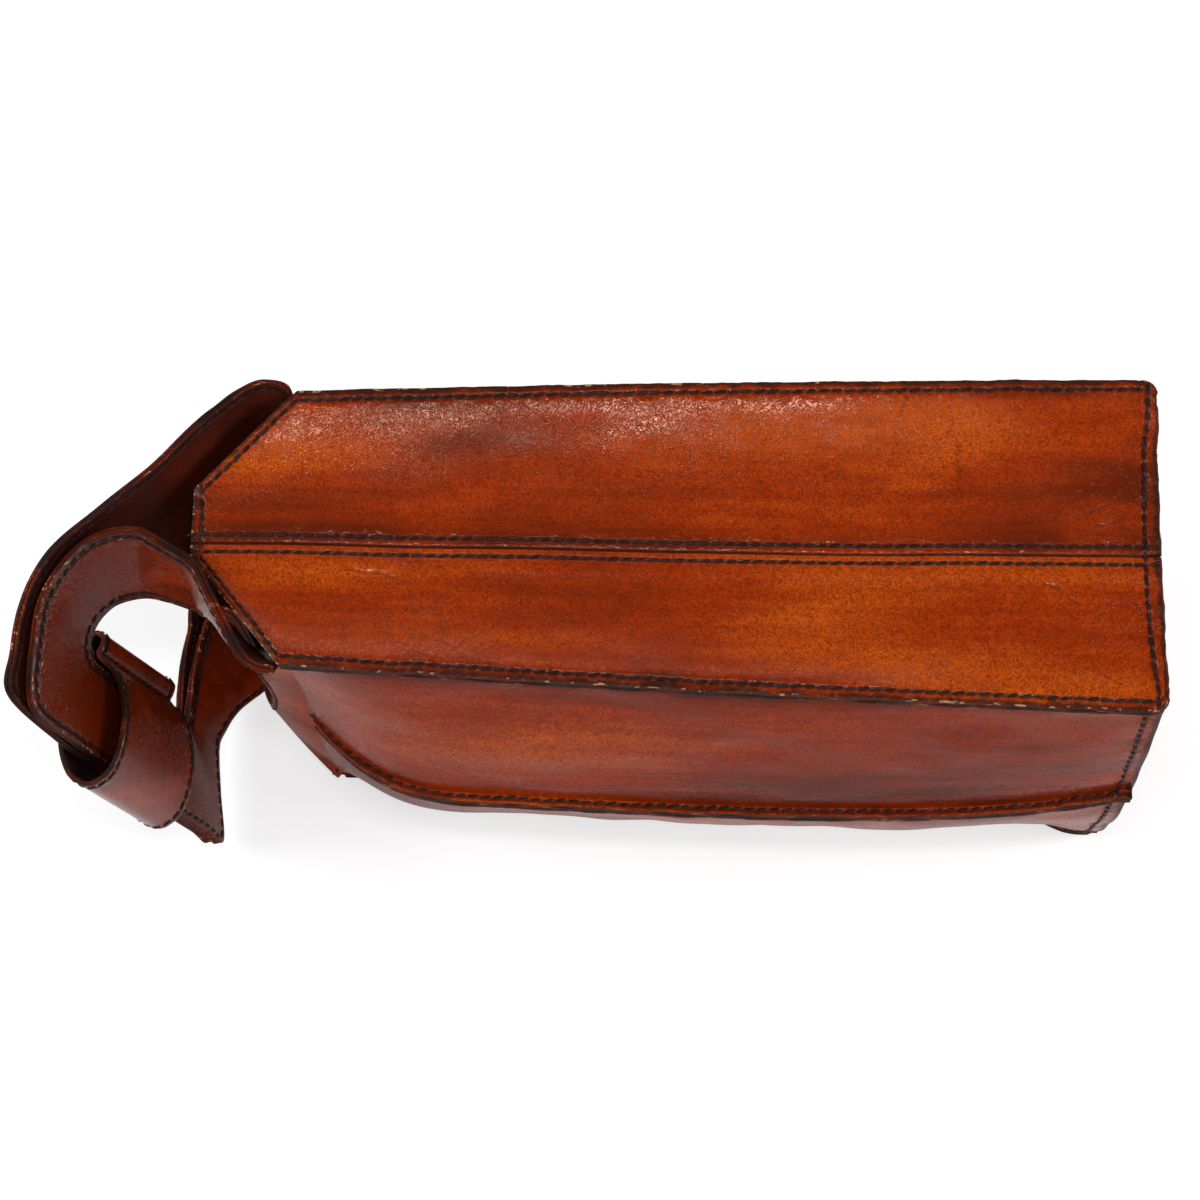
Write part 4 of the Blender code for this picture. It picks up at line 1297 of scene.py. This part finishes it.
class CARRIER_OT_gussets(Step, bpy.types.Operator):
    """Cut the two narrow sides, each from two halves that meet in the middle"""

    bl_idname = "carrier.gussets"
    bl_label = "Gussets"

    def execute(self, context):
        look, stitching = context.scene.carrier_leather, context.scene.carrier_stitching
        lift = look.panel_leather / MM / 2
        inset, rim, butt = (v / MM for v in (stitching.row_inset, stitching.rim_inset, stitching.butt_inset))
        for (level, height), (side, across) in itertools.product(LEVELS, SIDES):
            grid = gusset_grid(level, side, look)
            normals = facing(grid, (0, 0, level))
            first, last, down = distances(grid)
            up = down[-1:] - down
            tongue = grid[:, :, 0] < -BODY_LENGTH
            edge = np.minimum(first, np.where(tongue | (up < 12), up, FAR_AWAY))
            # The tone is darker on the far half beside the butt line, painted shade of the sagging middle,
            # and lighter on the far half some way in from its raw edge, a painted highlight; it is also a
            # little lighter on the near half beside the butt line and darker near the raw edge and the base
            tone = bump(last, 9.0) * (-0.15 if side > 0 else 0.05) - 0.05 * bump(first, 7.0)
            tone = tone - 0.04 * bump(down, 9.0) + 0.05 * (side > 0) * bump(first - 14, 12.0)
            obj = sheet_mesh(
                f"{height}_gusset_{across}_leather",
                grid,
                look.panel_leather,
                "gusset",
                {"from_edge": edge, "from_rim": down, "from_butt": last, "has_butt": 1.0, "tone": tone},
                flip=inside_out(grid, normals),
            )
            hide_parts(f"{height}_gusset_{across}_half")
            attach(obj, "bag")
            kept = np.flatnonzero(grid[:, 0, 0] < -1.0)
            # The row along the raw edge stops short of the tongue's tip
            to_tip = kept[kept <= len(grid) - 4]
            sew("body", grid[to_tip], normals[to_tip], inset, lift)
            sew("body", grid[kept][:, ::-1], normals[kept][:, ::-1], butt, lift)
            turned, ups = grid.transpose(1, 0, 2)[3:], normals.transpose(1, 0, 2)[3:]
            sew("body", turned, ups, rim, lift)
            sew("body", turned[:, ::-1], ups[:, ::-1], inset, lift)
        return {"FINISHED"}


class CARRIER_OT_panels(Step, bpy.types.Operator):
    """Cut the two broad sides, each from two halves joined in the ridge seam"""

    bl_idname = "carrier.panels"
    bl_label = "Broad panels"

    def execute(self, context):
        look, stitching = context.scene.carrier_leather, context.scene.carrier_stitching
        lift = look.panel_leather / MM / 2
        inset, rim = stitching.row_inset / MM, stitching.rim_inset / MM
        for (level, height), (side, across) in itertools.product(LEVELS, SIDES):
            grid = panel_grid(side, level, look)
            normals = facing(grid, (0, side, 0))
            first, last, down = distances(grid)
            edge = np.minimum(first + (0.9 if level > 0 else 4.0), last + 1.8)
            tone = -0.05 * bump(first, 14.0) - 0.04 * bump(down, 12.0)
            # The lower near panel is lighter all over, painted light from the floor below it; the panels are
            # also darker near the gusset seam and the rim and lighter along the ridge margin
            tone = tone + 0.10 * bump(last, 4.0) + (0.05 if level < 0 and side < 0 else 0.0)
            obj = sheet_mesh(
                f"{across}_panel_{height}_leather",
                grid,
                look.panel_leather,
                "panel",
                {"from_edge": edge, "from_rim": down, "tone": tone},
                flip=inside_out(grid, normals),
            )
            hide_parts(f"{across}_panel_{height}_half")
            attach(obj, "bag")
            kept = grid[:, 0, 0] < -1.0
            sew("body", grid[kept], normals[kept], inset - 0.9, lift)
            sew("body", grid[kept][:, ::-1], normals[kept][:, ::-1], RIDGE_ROW_INSET, lift)
            turned, ups = grid.transpose(1, 0, 2)[6:-3], normals.transpose(1, 0, 2)[6:-3]
            sew("body", turned, ups, rim, lift)
        return {"FINISHED"}


class CARRIER_OT_insides(Step, bpy.types.Operator):
    """Place the backing strips, the wall between the bottles and the base board"""

    bl_idname = "carrier.insides"
    bl_label = "Backing strips, divider and board"

    def execute(self, context):
        for level, height in LEVELS:
            obj = sheet_mesh(f"{height}_backing_strip", strip_grid(level), STRIP_LEATHER * MM, "inside")
            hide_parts(f"{height}_seam_strip")
            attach(obj, "bag")
        parts = [
            sheet_mesh(f"divider part {k}", grid, DIVIDER_LEATHER * MM, "inside")
            for k, grid in enumerate(divider_grids())
        ]
        shape = bmesh.new()
        for part in parts:
            shape.from_mesh(part.data)
        for part in parts[1:]:
            bpy.data.objects.remove(part)
        obj = parts[0]
        obj.name = "bottle_divider_leather"
        shape.to_mesh(obj.data)
        shape.free()
        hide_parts("bottle_divider")
        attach(obj, "bag")
        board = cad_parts["base_board"]
        board.data.materials.clear()
        board.data.materials.append(finish_for("board"))
        return {"FINISHED"}


class CARRIER_OT_base(Step, bpy.types.Operator):
    """Form the base leather, a shallow tray whose margin is sewn inside the rim"""

    bl_idname = "carrier.base"
    bl_label = "Base"

    def execute(self, context):
        grid = base_grid()
        down = distances(grid)[2]
        obj = sheet_mesh(
            "base_leather",
            grid,
            BASE_LEATHER * MM,
            "panel",
            {"from_edge": down, "tone": -0.04 * bump(down, 12.0)},
            closed_rows=True,
            flip=inside_out(grid, facing(grid, (1, 0, 0))),
        )
        shape = bmesh.new()
        shape.from_mesh(obj.data)
        bmesh.ops.remove_doubles(shape, verts=shape.verts, dist=1e-6)
        shape.to_mesh(obj.data)
        shape.free()
        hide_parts("base_panel")
        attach(obj, "bag")
        return {"FINISHED"}


class CARRIER_OT_handles(Step, bpy.types.Operator):
    """Run each broad panel's leather on as a handle, a lined ring round a hand hole"""

    bl_idname = "carrier.handles"
    bl_label = "Handles"

    def execute(self, context):
        look, stitching = context.scene.carrier_leather, context.scene.carrier_stitching
        inset = stitching.handle_inset / MM
        lining_depth = look.handle_leather / MM / 2 + LINING_GAP + LINING_LEATHER / 2
        for side, name in SIDES:
            ring = handle_ring(side, look)
            normals = normals_of(ring, True)
            away = -lining_turn(ring, side) * normals
            shares = np.linspace(0, 1, ring.shape[1])[None, :, None]
            crown = np.sin(np.pi * shares) * look.handle_crown / MM
            outer = ring + away * crown
            lining = ring + away * crown - away * lining_depth
            solids = f"{name}_handle_fold", f"{name}_handle"
            for label, grid, sign, deep, kind, nodes in (
                ("leather", outer, 1.0, look.handle_leather, "handle", solids),
                ("lining", lining, -1.0, LINING_LEATHER * MM, "lining", (f"{name}_handle_lining",)),
            ):
                first, last, down = distances(grid)
                first = first + NO_EDGE * np.array([body_side_share(row) for row in grid])[:, None]
                past = np.clip(1 - (-grid[:, :, 0] - BODY_LENGTH) / FADE_PAST_MOUTH, 0, 1)
                tone = 0.05 * np.sin(down[:, :1] / 23.0) * (1 - past) - 0.02 + 0.21 * past
                edge = np.minimum(first, last + 3.0 * past)
                ups = away * sign
                obj = sheet_mesh(
                    f"{name}_handle_{label}_sewn",
                    grid,
                    deep,
                    kind,
                    {"from_edge": edge, "tone": tone, "body_share": ease_all(past * 1.6)},
                    closed_columns=True,
                    flip=bool(np.sum(normals * ups) < 0),
                )
                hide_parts(*nodes)
                "dark_leather" if sign > 0 else "lining_leather"
                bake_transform(obj)
                lift = deep / MM / 2
                sew("handles", grid[:, ::-1], ups[:, ::-1], inset, lift, closed=True)
                joined = [k for k, row in enumerate(grid) if at_mouth(row) and abs(row[0][2]) < UNSEWN_HEIGHT]
                start = max(joined) + 1
                order = [k % len(grid) for k in range(start, start + len(grid) - len(joined))]
                sew("handles", grid[order], ups[order], inset, lift)
        return {"FINISHED"}


class CARRIER_OT_sleeve(Step, bpy.types.Operator):
    """Wrap the grip sleeve round both hand bars and sew it through beside them"""

    bl_idname = "carrier.sleeve"
    bl_label = "Grip sleeve"

    def execute(self, context):
        look, stitching = context.scene.carrier_leather, context.scene.carrier_stitching
        grid = sleeve_grid()
        normals = unit(np.cross(np.gradient(grid, axis=0), np.roll(grid, -1, 1) - np.roll(grid, 1, 1)))
        outward = float(np.sum(normals * (grid - grid.mean(axis=(0, 1))))) > 0
        ups = normals if outward else -normals
        down = distances(grid)[2]
        obj = sheet_mesh(
            "grip_sleeve_leather",
            grid,
            look.panel_leather,
            "handle",
            {"from_edge": np.minimum(down, down[-1:] - down), "tone": 0.03},
            closed_rows=True,
            flip=not outward,
        )
        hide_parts("grip_sleeve")
        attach(obj, "handles")
        lift = look.panel_leather / MM / 2
        inset = stitching.handle_inset / MM
        turned, turned_ups = grid.transpose(1, 0, 2), ups.transpose(1, 0, 2)
        sew("sleeve", turned, turned_ups, inset, lift, closed=True)
        sew("sleeve", turned[:, ::-1], turned_ups[:, ::-1], inset, lift, closed=True)
        roll_column = 4 * SLEEVE_STEPS
        for column in (roll_column, grid.shape[1] - roll_column):
            line = [(p + up * lift, up) for p, up in zip(grid[3:-3, column], ups[3:-3, column])]
            ROWS["sleeve"].append((line, False))
        return {"FINISHED"}


class CARRIER_OT_stitches(Step, bpy.types.Operator):
    """Sew every seam with waxed thread"""

    bl_idname = "carrier.stitches"
    bl_label = "Stitches"

    def execute(self, context):
        stitching = context.scene.carrier_stitching
        body = stitched("body_stitches", ROWS["body"], stitching.thread)
        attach(body, "bag")
        handles = stitched("handle_stitches", ROWS["handles"], stitching.handle_thread)
        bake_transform(handles)
        sleeve = stitched("sleeve_stitches", ROWS["sleeve"], stitching.handle_thread)
        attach(sleeve, "handles")
        return {"FINISHED"}


class CARRIER_OT_stage(Step, bpy.types.Operator):
    """Set the pale floor, the soft lamps and the camera"""

    bl_idname = "carrier.stage"
    bl_label = "Stage"

    def execute(self, context):
        scene, stage = context.scene, context.scene.carrier_stage
        scene.view_settings.view_transform = "Standard"

        def placed(name, data, place, aim):
            obj = bpy.data.objects.new(name, data)
            obj.location = place
            obj.rotation_mode = "QUATERNION"
            obj.rotation_quaternion = (Vector(aim) - Vector(place)).to_track_quat("-Z", "Y")
            scene.collection.objects.link(obj)
            return obj

        half = stage.floor_size / 2
        low = -(HALF_WIDTH + FLOOR_GAP) * MM
        corners = [(-half, -half, low), (half, -half, low), (half, half, low), (-half, half, low)]
        floor, mesh = new_piece("floor", corners, [], [(0, 1, 2, 3)])
        material, tree, shader = new_finish("pale floor")
        fill(tree, shader, {"Base Color": stage.floor_colour, "Roughness": 0.9, "Specular IOR Level": 0.0})
        seen = field(tree, "ShaderNodeLightPath", output="Is Camera Ray")
        # The camera sees the floor glow less near the bag, a painted shadow round it, and fully white far off
        away = vectors("LENGTH", object_place(tree), (0, 0, 0), "Value")
        level = ranged(away, 0.35, 1.3, 0.66, 1.0)
        glow_with_painted_shadow = node(tree, "ShaderNodeEmission", {"Color": (1, 1, 1), "Strength": level})
        pale = node(tree, "ShaderNodeBsdfDiffuse", {"Color": (0.42, 0.42, 0.425)})
        both = node(tree, "ShaderNodeAddShader", {0: pale.outputs[0], 1: glow_with_painted_shadow.outputs[0]})
        chosen = node(tree, "ShaderNodeMixShader", {0: seen, 1: shader.outputs[0], 2: both.outputs[0]})
        fill(tree, tree.nodes["Material Output"], {"Surface": chosen.outputs[0]})
        mesh.materials.append(material)

        world = bpy.data.worlds.new("studio")
        scene.world = world
        world.use_nodes = True
        air = world.node_tree
        sky = fill(air, air.nodes["Background"], {"Color": (1, 1, 1), "Strength": stage.sky})
        behind = node(air, "ShaderNodeBackground", {"Color": (1, 1, 1), "Strength": 1.0})
        seen = field(air, "ShaderNodeLightPath", output="Is Camera Ray")
        chosen = node(air, "ShaderNodeMixShader", {0: seen, 1: sky.outputs[0], 2: behind.outputs[0]})
        fill(air, air.nodes["World Output"], {"Surface": chosen.outputs[0]})

        for name, place, aim, size, power, share in SOFTBOXES:
            lamp = bpy.data.lights.new(name, "AREA")
            lamp.shape = "RECTANGLE"
            lamp.size, lamp.size_y = size
            lamp.energy = share * getattr(stage, power)
            placed(name, lamp, place, aim)

        camera = placed("camera", bpy.data.cameras.new("camera"), CAMERA_PLACE, CAMERA_AIM)
        camera.data.lens = stage.lens
        camera.data.sensor_width = 36.0
        camera.data.clip_start = 0.01
        scene.camera = camera
        return {"FINISHED"}


class VIEW3D_PT_carrier(bpy.types.Panel):
    """The carrier's pieces and settings"""

    bl_label = "Wine bottle carrier"
    bl_space_type = "VIEW_3D"
    bl_region_type = "UI"
    bl_category = "Carrier"

    def draw(self, context):
        for step in STEPS:
            self.layout.operator(step.bl_idname)
        for label in ("Leather", "Stitching", "Stage"):
            box = self.layout.box()
            box.label(text=label)
            held = getattr(context.scene, f"carrier_{label.lower()}")
            for key in held.__annotations__:
                box.prop(held, key)


GROUPS = (CarrierLeather, CarrierStitching, CarrierStage)
STEPS = (
    CARRIER_OT_gussets,
    CARRIER_OT_panels,
    CARRIER_OT_insides,
    CARRIER_OT_base,
    CARRIER_OT_handles,
    CARRIER_OT_sleeve,
    CARRIER_OT_stitches,
    CARRIER_OT_stage,
)


def register():
    for item in (*GROUPS, *STEPS, VIEW3D_PT_carrier):
        bpy.utils.register_class(item)
    bpy.types.Scene.carrier_leather = bpy.props.PointerProperty(type=CarrierLeather)
    bpy.types.Scene.carrier_stitching = bpy.props.PointerProperty(type=CarrierStitching)
    bpy.types.Scene.carrier_stage = bpy.props.PointerProperty(type=CarrierStage)


def unregister():
    del bpy.types.Scene.carrier_stage
    del bpy.types.Scene.carrier_stitching
    del bpy.types.Scene.carrier_leather
    for item in reversed((*GROUPS, *STEPS, VIEW3D_PT_carrier)):
        bpy.utils.unregister_class(item)


def main():
    register()
    bpy.ops.carrier.gussets()
    bpy.ops.carrier.panels()
    bpy.ops.carrier.insides()
    bpy.ops.carrier.base()
    bpy.ops.carrier.handles()
    bpy.ops.carrier.sleeve()
    bpy.ops.carrier.stitches()
    bpy.ops.carrier.stage()


if __name__ == "__main__":
    main()
